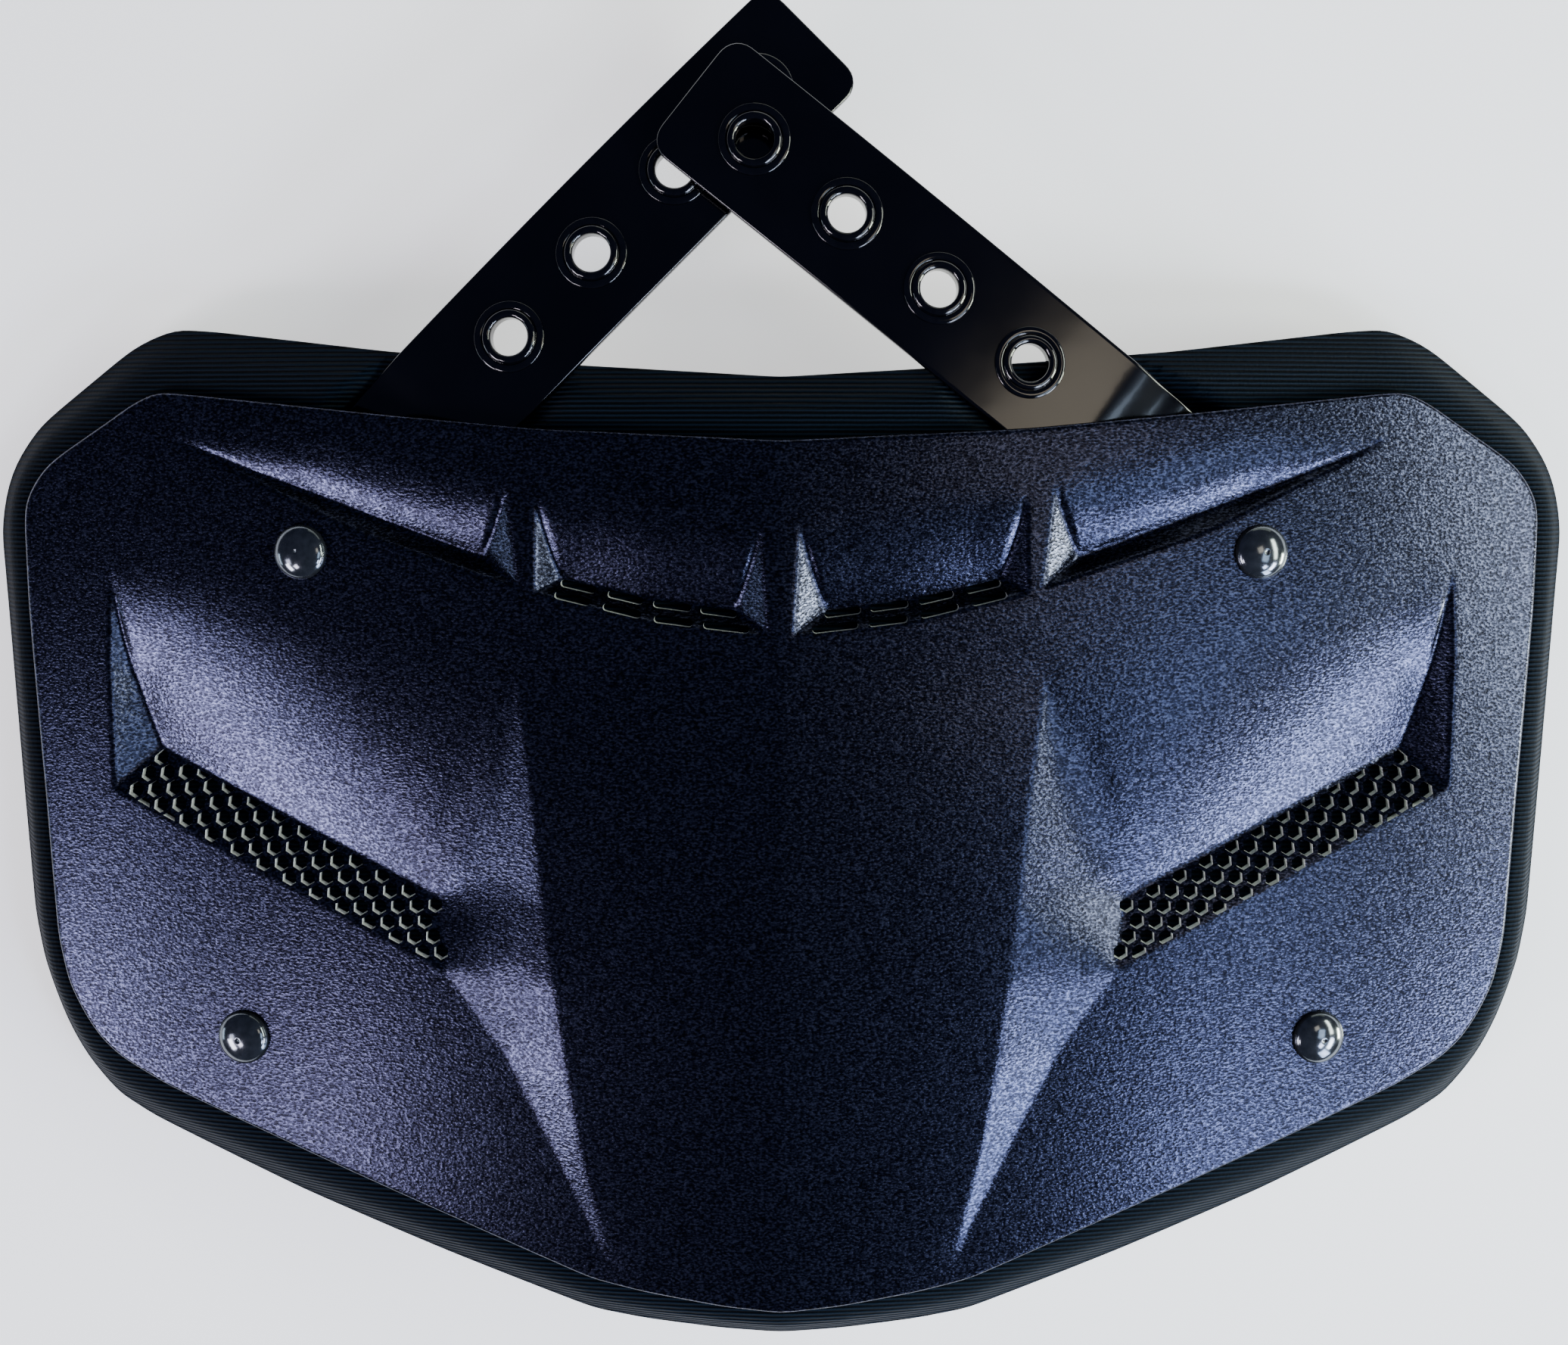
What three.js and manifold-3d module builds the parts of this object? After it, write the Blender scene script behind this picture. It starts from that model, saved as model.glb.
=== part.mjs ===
// A football backplate: a moulded shell over a knit-covered foam pad, with two vinyl straps
// that pass between shell and pad. It lies on its pad with the straps toward +Y and +Z up.
// Lengths are in millimetres. Inside the functions y runs up from the lower tip of the shell.

import * as THREE from 'three';
import { mergeVertices } from 'three/addons/utils/BufferGeometryUtils.js';
import Module from 'manifold-3d';

const wasm = await Module();
wasm.setup();

// Shell sizes
const plateWidth = 348.4;
const plateHeight = 205.5;
const plateThickness = 2.5;
const acrossRadius = 700;
const alongRadius = 1400;
const keelSlope = 0.05;
const crownUp = 0.45;
const browDepth = 5;
const ventDepth = 5.5;
const cheekDepth = 8.5;
const panelRise = 5;
const longestEdge = 40;

// Pad sizes
const padSideBorder = 8.6;
const padTopBorder = 14.5;
const padBelowTip = 8.9;
const padThickness = 14;
const padLip = 3;
const footWidth = 7;
const archHeight = 28.7;
const archPower = 1.8;
const archSides = 20;

// Strap sizes
const strapWidth = 30.4;
const strapThickness = 2;
const strapTail = 12;
const strapReach = 161;
const strapCorner = 5;
const strapStep = 10;
const leftStrapAngle = 45;
const rightStrapAngle = 38.5;
const keelRounding = 30;
const droopStart = 50;
const leftDroopAtCrossing = 5.7409985;
const rightLiftAtCrossing = 0.9604841;

// Eyelet sizes
const eyeletCount = 4;
const firstEyelet = 66.5;
const eyeletPitch = 25.6;
const eyeletBore = 8.3;
const eyeletBarrelWall = 0.8;
const eyeletFlange = 15.8;
const eyeletFlangeThickness = 0.8;

// Rivet sizes
const rivetHead = 12.2;
const rivetHeadHeight = 3.2;
const rivetShank = 4.4;
const rivetTail = 10;
const rivetTailThickness = 1.2;
const tailRecess = 0.4;
const upperRivet = { across: 0.611, up: 0.828 };
const lowerRivet = { across: 0.703, up: 0.29 };

// Ventilation sizes
const slotHeight = 1.6;
const hexAcross = 3.05;
const hexPitch = 4.2;
const hexRowStep = 3.36;
const hexRowTilt = 2.3;
const hexRowShift = 0.15;
const hexStartDrop = 2.04;
const hexMargin = 1.66;
const hexEndMargin = 1.2;

// Clearance between neighbouring pieces
const fitGap = 0.3;

const roundSides = 10;
const halfPlate = plateWidth / 2;
const halfPad = halfPlate + padSideBorder;
const padHeight = padBelowTip + plateHeight + padTopBorder;
const crownTop = archHeight + padThickness + fitGap + plateThickness;

// Stations round the right half of the outline, from the top centre to the lower tip.
// across is a share of the half width and up a share of the height, of shell and of pad.
const outline = [
  { name: 'top_centre', across: 0, up: 0.946, padAcross: 0, padUp: 0.95 },
  { name: 'top_inner', across: 0.31, up: 0.959, padAcross: 0.295, padUp: 0.964 },
  { name: 'top_middle', across: 0.502, up: 0.974, padAcross: 0.479, padUp: 0.976 },
  { name: 'top_outer', across: 0.754, up: 0.996, padAcross: 0.7, padUp: 0.997 },
  { name: 'top_corner', across: 0.808, up: 1, padAcross: 0.755, padUp: 1 },
  { name: 'top_round', across: 0.844, up: 0.986, padAcross: 0.807, padUp: 0.984 },
  { name: 'bevel_start', across: 0.863, up: 0.975, padAcross: 0.835, padUp: 0.968 },
  { name: 'bevel_end', across: 0.945, up: 0.932, padAcross: 0.933, padUp: 0.912 },
  { name: 'side_round_a', across: 0.968, up: 0.918, padAcross: 0.955, padUp: 0.896 },
  { name: 'side_round_b', across: 0.986, up: 0.898, padAcross: 0.978, padUp: 0.869 },
  { name: 'side_round_c', across: 0.998, up: 0.879, padAcross: 0.993, padUp: 0.839 },
  { name: 'side_top', across: 1, up: 0.86, padAcross: 1, padUp: 0.801 },
  { name: 'side_upper', across: 0.996, up: 0.766, padAcross: 0.995, padUp: 0.723 },
  { name: 'side_middle', across: 0.978, up: 0.554, padAcross: 0.985, padUp: 0.555 },
  { name: 'side_lower', across: 0.967, up: 0.39, padAcross: 0.975, padUp: 0.402 },
  { name: 'hip_start', across: 0.954, up: 0.337, padAcross: 0.964, padUp: 0.346 },
  { name: 'hip_a', across: 0.932, up: 0.301, padAcross: 0.938, padUp: 0.291 },
  { name: 'hip_b', across: 0.91, up: 0.275, padAcross: 0.91, padUp: 0.252 },
  { name: 'hip_c', across: 0.882, up: 0.255, padAcross: 0.867, padUp: 0.215 },
  { name: 'hip_end', across: 0.817, up: 0.227, padAcross: 0.815, padUp: 0.193 },
  { name: 'slope_upper', across: 0.625, up: 0.163, padAcross: 0.613, padUp: 0.128 },
  { name: 'slope_lower', across: 0.425, up: 0.096, padAcross: 0.427, padUp: 0.074 },
  { name: 'knee', across: 0.244, up: 0.033, padAcross: 0.235, padUp: 0.0205 },
  { name: 'knee_end', across: 0.175, up: 0.02, padAcross: 0.17, padUp: 0.012 },
  { name: 'tip_side', across: 0.074, up: 0.006, padAcross: 0.077, padUp: 0.004 },
  { name: 'tip', across: 0, up: 0, padAcross: 0, padUp: 0 },
];

// Corners of the relief on the right half. share is how much of the form's depth or rise
// the corner has; a corner of the plain surface has none.
const corners = [
  { name: 'ridge_top', across: 0, up: 0.862, form: 'plain', share: 0 },
  { name: 'ridge_apex', across: 0.024, up: 0.862, form: 'plain', share: 0 },
  { name: 'ridge_foot', across: 0.015, up: 0.742, form: 'plain', share: 0 },
  { name: 'vent_fade', across: 0.161, up: 0.881, form: 'plain', share: 0 },
  { name: 'vent_apex', across: 0.307, up: 0.891, form: 'plain', share: 0 },
  { name: 'vent_foot', across: 0.309, up: 0.786, form: 'plain', share: 0 },
  { name: 'vent_rim', across: 0.15, up: 0.754, form: 'plain', share: 0 },
  { name: 'vent_deep_inner', across: 0.058, up: 0.768, form: 'vent', share: 1 },
  { name: 'vent_deep_middle', across: 0.168, up: 0.78, form: 'vent', share: 1 },
  { name: 'vent_deep_outer', across: 0.276, up: 0.8, form: 'vent', share: 1 },
  { name: 'brow_apex', across: 0.344, up: 0.901, form: 'plain', share: 0 },
  { name: 'brow_foot', across: 0.328, up: 0.792, form: 'plain', share: 0 },
  { name: 'brow_rim', across: 0.544, up: 0.852, form: 'plain', share: 0 },
  { name: 'brow_tip', across: 0.8, up: 0.955, form: 'plain', share: 0 },
  { name: 'brow_fade', across: 0.574, up: 0.935, form: 'plain', share: 0 },
  { name: 'brow_deep_middle', across: 0.603, up: 0.891, form: 'brow', share: 0.7 },
  { name: 'brow_deep', across: 0.378, up: 0.822, form: 'brow', share: 1 },
  { name: 'cheek_fade_inner', across: 0.417, up: 0.7, form: 'plain', share: 0 },
  { name: 'cheek_fade_middle', across: 0.565, up: 0.738, form: 'plain', share: 0 },
  { name: 'cheek_fade_outer', across: 0.715, up: 0.782, form: 'plain', share: 0 },
  { name: 'cheek_apex', across: 0.875, up: 0.805, form: 'plain', share: 0 },
  { name: 'cheek_rim_side', across: 0.88, up: 0.709, form: 'plain', share: 0 },
  { name: 'cheek_rim_corner', across: 0.876, up: 0.562, form: 'plain', share: 0 },
  { name: 'cheek_rim_inner', across: 0.429, up: 0.377, form: 'plain', share: 0 },
  { name: 'cheek_deep_side', across: 0.85, up: 0.682, form: 'cheek', share: 0.6 },
  { name: 'cheek_deep_corner', across: 0.821, up: 0.605, form: 'cheek', share: 1 },
  { name: 'cheek_deep_inner', across: 0.443, up: 0.453, form: 'cheek', share: 0.8 },
  { name: 'blade_foot_a', across: 0.35, up: 0.284, form: 'plain', share: 0 },
  { name: 'blade_foot_b', across: 0.296, up: 0.191, form: 'plain', share: 0 },
  { name: 'blade_foot_c', across: 0.258, up: 0.122, form: 'plain', share: 0 },
];

// The raised centre panel, from its start below the vents to the point of the blade.
const panelRows = [
  { edge: 'panel_edge_0', centre: 'panel_centre_0', across: 0.332, up: 0.696, centreUp: 0.716, share: 0 },
  { edge: 'panel_edge_1', centre: 'panel_centre_1', across: 0.313, up: 0.575, centreUp: 0.575, share: 0.67 },
  { edge: 'panel_edge_2', centre: 'panel_centre_2', across: 0.3, up: 0.453, centreUp: 0.453, share: 1 },
  { edge: 'panel_edge_3', centre: 'panel_centre_3', across: 0.288, up: 0.37, centreUp: 0.37, share: 1 },
  { edge: 'panel_edge_4', centre: 'panel_centre_4', across: 0.272, up: 0.273, centreUp: 0.273, share: 0.72 },
  { edge: 'panel_edge_5', centre: 'panel_centre_5', across: 0.257, up: 0.19, centreUp: 0.19, share: 0.44 },
  { edge: 'panel_edge_6', centre: 'panel_centre_6', across: 0.241, up: 0.127, centreUp: 0.127, share: 0.22 },
  { edge: 'panel_edge_7', centre: 'panel_centre_7', across: 0.226, up: 0.059, centreUp: 0.059, share: 0 },
];

// Facets of the right half, each named by its corners in order.
const facets = [
  ['top_centre', 'top_inner', 'top_middle', 'top_outer', 'top_corner', 'brow_tip', 'brow_fade',
    'brow_apex', 'vent_apex', 'vent_fade', 'ridge_apex', 'ridge_top'],
  ['ridge_top', 'ridge_apex', 'ridge_foot', 'panel_centre_0'],
  ['brow_apex', 'brow_foot', 'vent_foot', 'vent_apex'],
  ['vent_apex', 'vent_fade', 'ridge_apex', 'vent_deep_inner', 'vent_deep_middle', 'vent_deep_outer'],
  ['ridge_apex', 'ridge_foot', 'vent_deep_inner'],
  ['vent_apex', 'vent_foot', 'vent_deep_outer'],
  ['vent_foot', 'vent_rim', 'ridge_foot', 'vent_deep_inner', 'vent_deep_middle', 'vent_deep_outer'],
  ['brow_tip', 'brow_fade', 'brow_apex', 'brow_deep', 'brow_deep_middle'],
  ['brow_apex', 'brow_foot', 'brow_deep'],
  ['brow_foot', 'brow_rim', 'brow_tip', 'brow_deep_middle', 'brow_deep'],
  ['vent_foot', 'brow_foot', 'panel_edge_0', 'panel_centre_0', 'ridge_foot', 'vent_rim'],
  ['brow_tip', 'top_corner', 'top_round', 'bevel_start', 'bevel_end', 'side_round_a', 'side_round_b',
    'side_round_c', 'side_top', 'side_upper', 'cheek_apex', 'cheek_fade_outer', 'cheek_fade_middle',
    'cheek_fade_inner', 'panel_edge_0', 'brow_foot', 'brow_rim'],
  ['panel_edge_0', 'cheek_fade_inner', 'cheek_fade_middle', 'cheek_fade_outer', 'cheek_apex',
    'cheek_deep_side', 'cheek_deep_corner', 'cheek_deep_inner'],
  ['cheek_apex', 'cheek_rim_side', 'cheek_rim_corner', 'cheek_deep_corner', 'cheek_deep_side'],
  ['cheek_deep_corner', 'cheek_rim_corner', 'cheek_rim_inner', 'cheek_deep_inner'],
  ['panel_edge_0', 'cheek_deep_inner', 'panel_edge_1'],
  ['panel_edge_1', 'cheek_deep_inner', 'panel_edge_2'],
  ['panel_edge_2', 'cheek_deep_inner', 'cheek_rim_inner', 'panel_edge_3'],
  ['panel_edge_3', 'cheek_rim_inner', 'blade_foot_a', 'panel_edge_4'],
  ['panel_edge_4', 'blade_foot_a', 'blade_foot_b', 'panel_edge_5'],
  ['panel_edge_5', 'blade_foot_b', 'blade_foot_c', 'panel_edge_6'],
  ['panel_edge_6', 'blade_foot_c', 'panel_edge_7'],
  ['cheek_rim_side', 'cheek_apex', 'side_upper', 'side_middle', 'side_lower', 'hip_start', 'hip_a',
    'hip_b', 'hip_c', 'hip_end', 'slope_upper', 'slope_lower', 'knee', 'panel_edge_7', 'blade_foot_c',
    'blade_foot_b', 'blade_foot_a', 'cheek_rim_inner', 'cheek_rim_corner'],
  ['panel_centre_7', 'panel_edge_7', 'knee', 'knee_end', 'tip_side', 'tip'],
];

// The visible border of the pad, from the shell's edge outward: out is the share of the way
// to the pad's outline, down the share of the way down to the top of its lip.
const border = [
  { out: 0.14, down: 0.03 },
  { out: 0.34, down: 0.16 },
  { out: 0.62, down: 0.48 },
  { out: 0.94, down: 0.9 },
  { out: 1, down: 1 },
];

// How deep a strap runs below the underside of the plain shell: along is a share of its reach
// from the rivet, sunk a share of the brow's depth, so that it passes under the brow.
const strapLie = [
  { along: -0.1, sunk: 0.05 },
  { along: 0.02, sunk: 0.25 },
  { along: 0.08, sunk: 0.88 },
  { along: 0.15, sunk: 0.9 },
  { along: 0.22, sunk: 0.5 },
  { along: 0.3, sunk: 0.12 },
];

// Slots of a vent: the ends of each as shares of the wall's length, and the row's place
// as a share of the way from the rim down to the floor.
const slots = [
  { row: 0.2, from: 0.06, to: 0.28 },
  { row: 0.2, from: 0.33, to: 0.515 },
  { row: 0.2, from: 0.57, to: 0.73 },
  { row: 0.2, from: 0.785, to: 0.935 },
  { row: 0.82, from: 0.02, to: 0.22 },
  { row: 0.82, from: 0.27, to: 0.48 },
  { row: 0.82, from: 0.535, to: 0.725 },
  { row: 0.82, from: 0.79, to: 0.98 },
];

// Surfaces

function plainHeight(x, y) {
  const alongFall = (y - crownUp * plateHeight) ** 2 / (2 * alongRadius);
  return crownTop - keelSlope * Math.abs(x) - x ** 2 / (2 * acrossRadius) - alongFall;
}

function archAt(x) {
  const reach = Math.min(1, Math.abs(x) / (halfPad - footWidth));
  return archHeight * (1 - reach ** archPower);
}

function plainNormal(x, y) {
  const across = keelSlope * Math.sign(x) + x / acrossRadius;
  return new THREE.Vector3(across, (y - crownUp * plateHeight) / alongRadius, 1).normalize();
}

// Solids and meshes

function toSolid(positions, triangles) {
  const merged = new THREE.BufferGeometry();
  merged.setAttribute('position', new THREE.Float32BufferAttribute(positions, 3));
  merged.setIndex(triangles);
  const welded = mergeVertices(merged, 1e-4);
  const vertices = new Float32Array(welded.attributes.position.array);
  const faces = new Uint32Array(welded.index.array);
  return new wasm.Manifold(new wasm.Mesh({ numProp: 3, vertProperties: vertices, triVerts: faces }));
}

function geometryVolume(geometry) {
  const at = geometry.attributes.position;
  const order = geometry.index.array;
  const [a, b, c] = [new THREE.Vector3(), new THREE.Vector3(), new THREE.Vector3()];
  let volume = 0;
  for (let i = 0; i < order.length; i += 3) {
    a.fromBufferAttribute(at, order[i]);
    b.fromBufferAttribute(at, order[i + 1]);
    c.fromBufferAttribute(at, order[i + 2]);
    volume += a.dot(b.cross(c)) / 6;
  }
  return volume;
}

function solidOf(geometry) {
  const bare = geometry.clone();
  bare.deleteAttribute('normal');
  bare.deleteAttribute('uv');
  const welded = mergeVertices(bare, 1e-4);
  const order = Array.from(welded.index.array);
  const kept = [];
  const inward = geometryVolume(welded) < 0;
  for (let i = 0; i < order.length; i += 3) {
    const [a, b, c] = order.slice(i, i + 3);
    if (a === b || b === c || a === c) continue;
    kept.push(...(inward ? [a, c, b] : [a, b, c]));
  }
  return toSolid(Array.from(welded.attributes.position.array), kept);
}

function geometryOf(solid) {
  const mesh = solid.getMesh();
  const geometry = new THREE.BufferGeometry();
  geometry.setAttribute('position', new THREE.BufferAttribute(mesh.vertProperties, 3));
  geometry.setIndex(new THREE.BufferAttribute(mesh.triVerts, 1));
  geometry.computeVertexNormals();
  return geometry;
}

function cutAll(solid, cutters) {
  return cutters.reduce((left, cutter) => left.subtract(cutter), solid);
}

// Plan of the shell's facets

function halfPlan() {
  const vertices = [];
  const index = new Map();
  const add = (name, x, y, rise, station) => {
    index.set(name, vertices.length);
    vertices.push({ x, y, rise, station });
  };
  outline.forEach((point, station) => {
    add(point.name, point.across * halfPlate, point.up * plateHeight, 0, station);
  });
  const reliefs = { plain: 0, brow: -browDepth, vent: -ventDepth, cheek: -cheekDepth };
  for (const corner of corners) {
    const rise = reliefs[corner.form] * corner.share;
    add(corner.name, corner.across * halfPlate, corner.up * plateHeight, rise, null);
  }
  for (const row of panelRows) {
    add(row.edge, row.across * halfPlate, row.up * plateHeight, panelRise * row.share, null);
    add(row.centre, 0, row.centreUp * plateHeight, panelRise * row.share, null);
  }
  const panelFacets = panelRows.slice(1).map((row, i) => {
    return [panelRows[i].centre, panelRows[i].edge, row.edge, row.centre];
  });
  const triangles = [];
  for (const names of [...facets, ...panelFacets]) {
    const loop = names.map((name) => index.get(name));
    const points = loop.map((i) => new THREE.Vector2(vertices[i].x, vertices[i].y));
    if (THREE.ShapeUtils.isClockWise(points)) {
      loop.reverse();
      points.reverse();
    }
    for (const face of THREE.ShapeUtils.triangulateShape(points, [])) {
      triangles.push(face.map((corner) => loop[corner]));
    }
  }
  return { vertices, triangles, index };
}

// Every edge longer than the limit is halved, until none is left.
function refine(plan, limit) {
  const { vertices } = plan;
  let { triangles } = plan;
  for (;;) {
    const middles = new Map();
    const middleOf = (a, b) => {
      const [p, q] = [vertices[a], vertices[b]];
      if (Math.hypot(p.x - q.x, p.y - q.y) <= limit) return null;
      const key = Math.min(a, b) + ' ' + Math.max(a, b);
      if (!middles.has(key)) {
        const onRim = p.station !== null && q.station !== null && Math.abs(p.station - q.station) <= 1;
        middles.set(key, vertices.length);
        vertices.push({
          x: (p.x + q.x) / 2,
          y: (p.y + q.y) / 2,
          rise: (p.rise + q.rise) / 2,
          station: onRim ? (p.station + q.station) / 2 : null,
        });
      }
      return middles.get(key);
    };
    const next = [];
    for (const face of triangles) {
      const marks = face.map((corner, i) => middleOf(corner, face[(i + 1) % 3]));
      const count = marks.filter((mark) => mark !== null).length;
      const first = count === 2 ? (marks.indexOf(null) + 1) % 3 : marks.findIndex((mark) => mark !== null);
      const turn = count === 0 ? 0 : first;
      const [a, b, c] = [0, 1, 2].map((i) => face[(i + turn) % 3]);
      const [m, n, o] = [0, 1, 2].map((i) => marks[(i + turn) % 3]);
      if (count === 0) next.push([a, b, c]);
      if (count === 1) next.push([a, m, c], [m, b, c]);
      if (count === 2) next.push([m, b, n], [a, m, n], [a, n, c]);
      if (count === 3) next.push([a, m, o], [m, b, n], [o, n, c], [m, n, o]);
    }
    triangles = next;
    if (middles.size === 0) return { vertices, triangles };
  }
}

// The half plan and its mirror image as one, with the loop of its rim from the top centre on.
function wholePlan() {
  const half = refine(halfPlan(), longestEdge);
  const vertices = half.vertices.map((vertex) => ({ ...vertex, side: 1 }));
  const mirror = half.vertices.map((vertex, i) => {
    if (vertex.x === 0) return i;
    vertices.push({ ...vertex, x: -vertex.x, side: -1 });
    return vertices.length - 1;
  });
  const triangles = [...half.triangles];
  for (const [a, b, c] of half.triangles) triangles.push([mirror[a], mirror[c], mirror[b]]);
  const rim = half.vertices.map((vertex, i) => i).filter((i) => half.vertices[i].station !== null);
  rim.sort((a, b) => half.vertices[a].station - half.vertices[b].station);
  const back = rim.slice(1, -1).reverse().map((i) => mirror[i]);
  return { vertices, triangles, rim: [...rim, ...back] };
}

function padRimPoint(vertex) {
  const from = outline[Math.floor(vertex.station)];
  const to = outline[Math.ceil(vertex.station)];
  const share = vertex.station - Math.floor(vertex.station);
  const across = THREE.MathUtils.lerp(from.padAcross, to.padAcross, share);
  const up = THREE.MathUtils.lerp(from.padUp, to.padUp, share);
  return { x: vertex.side * across * halfPad, y: up * padHeight - padBelowTip };
}

// Strap paths

function sunkShare(along) {
  const next = strapLie.findIndex((row) => row.along > along);
  if (next === -1) return strapLie.at(-1).sunk;
  if (next === 0) return strapLie[0].sunk;
  const [from, to] = [strapLie[next - 1], strapLie[next]];
  return THREE.MathUtils.lerp(from.sunk, to.sunk, THREE.MathUtils.smoothstep(along, from.along, to.along));
}

function strapPath(side) {
  const angle = THREE.MathUtils.degToRad(side === 'left' ? leftStrapAngle : rightStrapAngle);
  const hand = side === 'left' ? 1 : -1;
  const along = new THREE.Vector2(hand * Math.cos(angle), Math.sin(angle));
  const across = new THREE.Vector2(-along.y, along.x);
  const start = new THREE.Vector2(-hand * upperRivet.across * halfPlate, upperRivet.up * plateHeight);
  const crossing = (upperRivet.across * halfPlate) / Math.cos(angle);
  const crossingDroop = side === 'left' ? leftDroopAtCrossing : -rightLiftAtCrossing;
  const heightAt = (distance, x, y) => {
    const free = Math.max(0, (distance - droopStart) / (crossing - droopStart));
    const sunk = sunkShare(distance / strapReach) * browDepth + crossingDroop * free ** 2;
    const keel = keelSlope * Math.hypot(x, keelRounding);
    const alongFall = (y - crownUp * plateHeight) ** 2 / (2 * alongRadius);
    const plain = crownTop - keel - x ** 2 / (2 * acrossRadius) - alongFall;
    return plain - plateThickness - fitGap - strapThickness / 2 - sunk;
  };
  const pointAt = (distance, offset) => {
    const x = start.x + along.x * distance + across.x * offset;
    const y = start.y + along.y * distance + across.y * offset;
    return new THREE.Vector3(x, y, heightAt(distance, x, y));
  };
  const normalAt = (distance) => {
    const ahead = pointAt(distance + 1, 0).sub(pointAt(distance - 1, 0));
    const aside = pointAt(distance, 1).sub(pointAt(distance, -1));
    return ahead.cross(aside).normalize();
  };
  const middleAt = (distance) => {
    return pointAt(distance, -strapWidth / 2).lerp(pointAt(distance, strapWidth / 2), 0.5);
  };
  return { pointAt, middleAt, normalAt };
}

function strapStations() {
  const stations = [];
  const cornerSteps = [0, 0.3, 0.65, 1];
  for (const step of cornerSteps) stations.push(strapCorner * step - strapTail);
  const length = strapReach + strapTail - 2 * strapCorner;
  const count = Math.ceil(length / strapStep);
  for (let i = 1; i < count; i++) stations.push(strapCorner - strapTail + (length * i) / count);
  for (const step of [...cornerSteps].reverse()) stations.push(strapReach - strapCorner * step);
  return stations;
}

function strapHalfWidth(distance) {
  const fromEnd = Math.min(distance + strapTail, strapReach - distance, strapCorner);
  const inset = strapCorner - Math.sqrt(strapCorner ** 2 - (strapCorner - fromEnd) ** 2);
  return strapWidth / 2 - inset;
}

// A ribbon along the path, between lower and upper offsets from its middle.
function ribbonSolid(path, lower, upper, extraWidth) {
  const positions = [];
  const triangles = [];
  const stations = strapStations();
  for (const distance of stations) {
    const half = strapHalfWidth(distance) + extraWidth;
    for (const offset of [-half, half]) {
      const middle = path.pointAt(distance, offset);
      positions.push(middle.x, middle.y, middle.z + lower);
      positions.push(middle.x, middle.y, middle.z + upper);
    }
  }
  const [lowRight, topRight, lowLeft, topLeft] = [0, 1, 2, 3];
  const quad = (a, b, c, d) => triangles.push(a, b, c, a, c, d);
  for (let i = 0; i + 1 < stations.length; i++) {
    const [here, there] = [4 * i, 4 * (i + 1)];
    quad(here + topRight, there + topRight, there + topLeft, here + topLeft);
    quad(here + lowLeft, there + lowLeft, there + lowRight, here + lowRight);
    quad(here + lowRight, there + lowRight, there + topRight, here + topRight);
    quad(here + topLeft, there + topLeft, there + lowLeft, here + lowLeft);
  }
  const last = 4 * (stations.length - 1);
  quad(lowRight, topRight, topLeft, lowLeft);
  quad(last + lowLeft, last + topLeft, last + topRight, last + lowRight);
  return toSolid(positions, triangles);
}

// Cylinder about an axis, from one distance along it to another.
function rod(point, axis, radius, from, to) {
  const rodGeometry = new THREE.CylinderGeometry(radius, radius, to - from, roundSides);
  rodGeometry.translate(0, (from + to) / 2, 0);
  rodGeometry.applyQuaternion(new THREE.Quaternion().setFromUnitVectors(THREE.Object3D.DEFAULT_UP, axis));
  rodGeometry.translate(point.x, point.y, point.z);
  return solidOf(rodGeometry);
}

// Fasteners

function rivetPlaces() {
  const places = [];
  for (const [level, share] of [['upper', upperRivet], ['lower', lowerRivet]]) {
    for (const [side, hand] of [['left', -1], ['right', 1]]) {
      const x = hand * share.across * halfPlate;
      const y = share.up * plateHeight;
      const axis = plainNormal(x, y);
      const seat = new THREE.Vector3(x, y, plainHeight(x, y));
      const grip = (seat.z - archAt(x)) * axis.z - rivetTailThickness - tailRecess;
      places.push({ name: `rivet_${level}_${side}`, seat, axis, grip });
    }
  }
  return places;
}

function rivetGeometry(grip) {
  const headRadius = rivetHead / 2;
  const profile = [];
  const domeSteps = 4;
  for (let i = 0; i < domeSteps; i++) {
    const turn = (Math.PI / 2) * (i / domeSteps);
    const height = fitGap + rivetHeadHeight * Math.cos(turn);
    profile.push(new THREE.Vector2(headRadius * Math.sin(turn), height));
  }
  profile.push(new THREE.Vector2(headRadius, fitGap));
  profile.push(new THREE.Vector2(rivetShank / 2, fitGap));
  profile.push(new THREE.Vector2(rivetShank / 2, -grip));
  profile.push(new THREE.Vector2(rivetTail / 2, -grip));
  profile.push(new THREE.Vector2(rivetTail / 2, -grip - rivetTailThickness));
  profile.push(new THREE.Vector2(0, -grip - rivetTailThickness));
  return geometryOf(solidOf(new THREE.LatheGeometry(profile, roundSides)));
}

function rivetBores(place, radius) {
  return rod(place.seat, place.axis, radius, -2 * place.grip, place.grip);
}

function eyeletGeometry() {
  const bore = eyeletBore / 2;
  const barrel = bore + eyeletBarrelWall;
  const flange = eyeletFlange / 2;
  const face = strapThickness / 2 + fitGap;
  const top = face + eyeletFlangeThickness;
  const profile = [
    new THREE.Vector2(barrel, -face),
    new THREE.Vector2(flange, -face),
    new THREE.Vector2(flange - eyeletFlangeThickness, -top),
    new THREE.Vector2(bore, -top),
    new THREE.Vector2(bore, top),
    new THREE.Vector2(flange - eyeletFlangeThickness, top),
    new THREE.Vector2(flange, face),
    new THREE.Vector2(barrel, face),
    new THREE.Vector2(barrel, -face),
  ];
  return geometryOf(solidOf(new THREE.LatheGeometry(profile, roundSides)));
}

function eyeletDistances() {
  return Array.from({ length: eyeletCount }, (unused, i) => firstEyelet + i * eyeletPitch);
}

// Ventilation

function cornerPoint(name) {
  const corner = corners.find((row) => row.name === name);
  return new THREE.Vector2(corner.across * halfPlate, corner.up * plateHeight);
}

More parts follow.
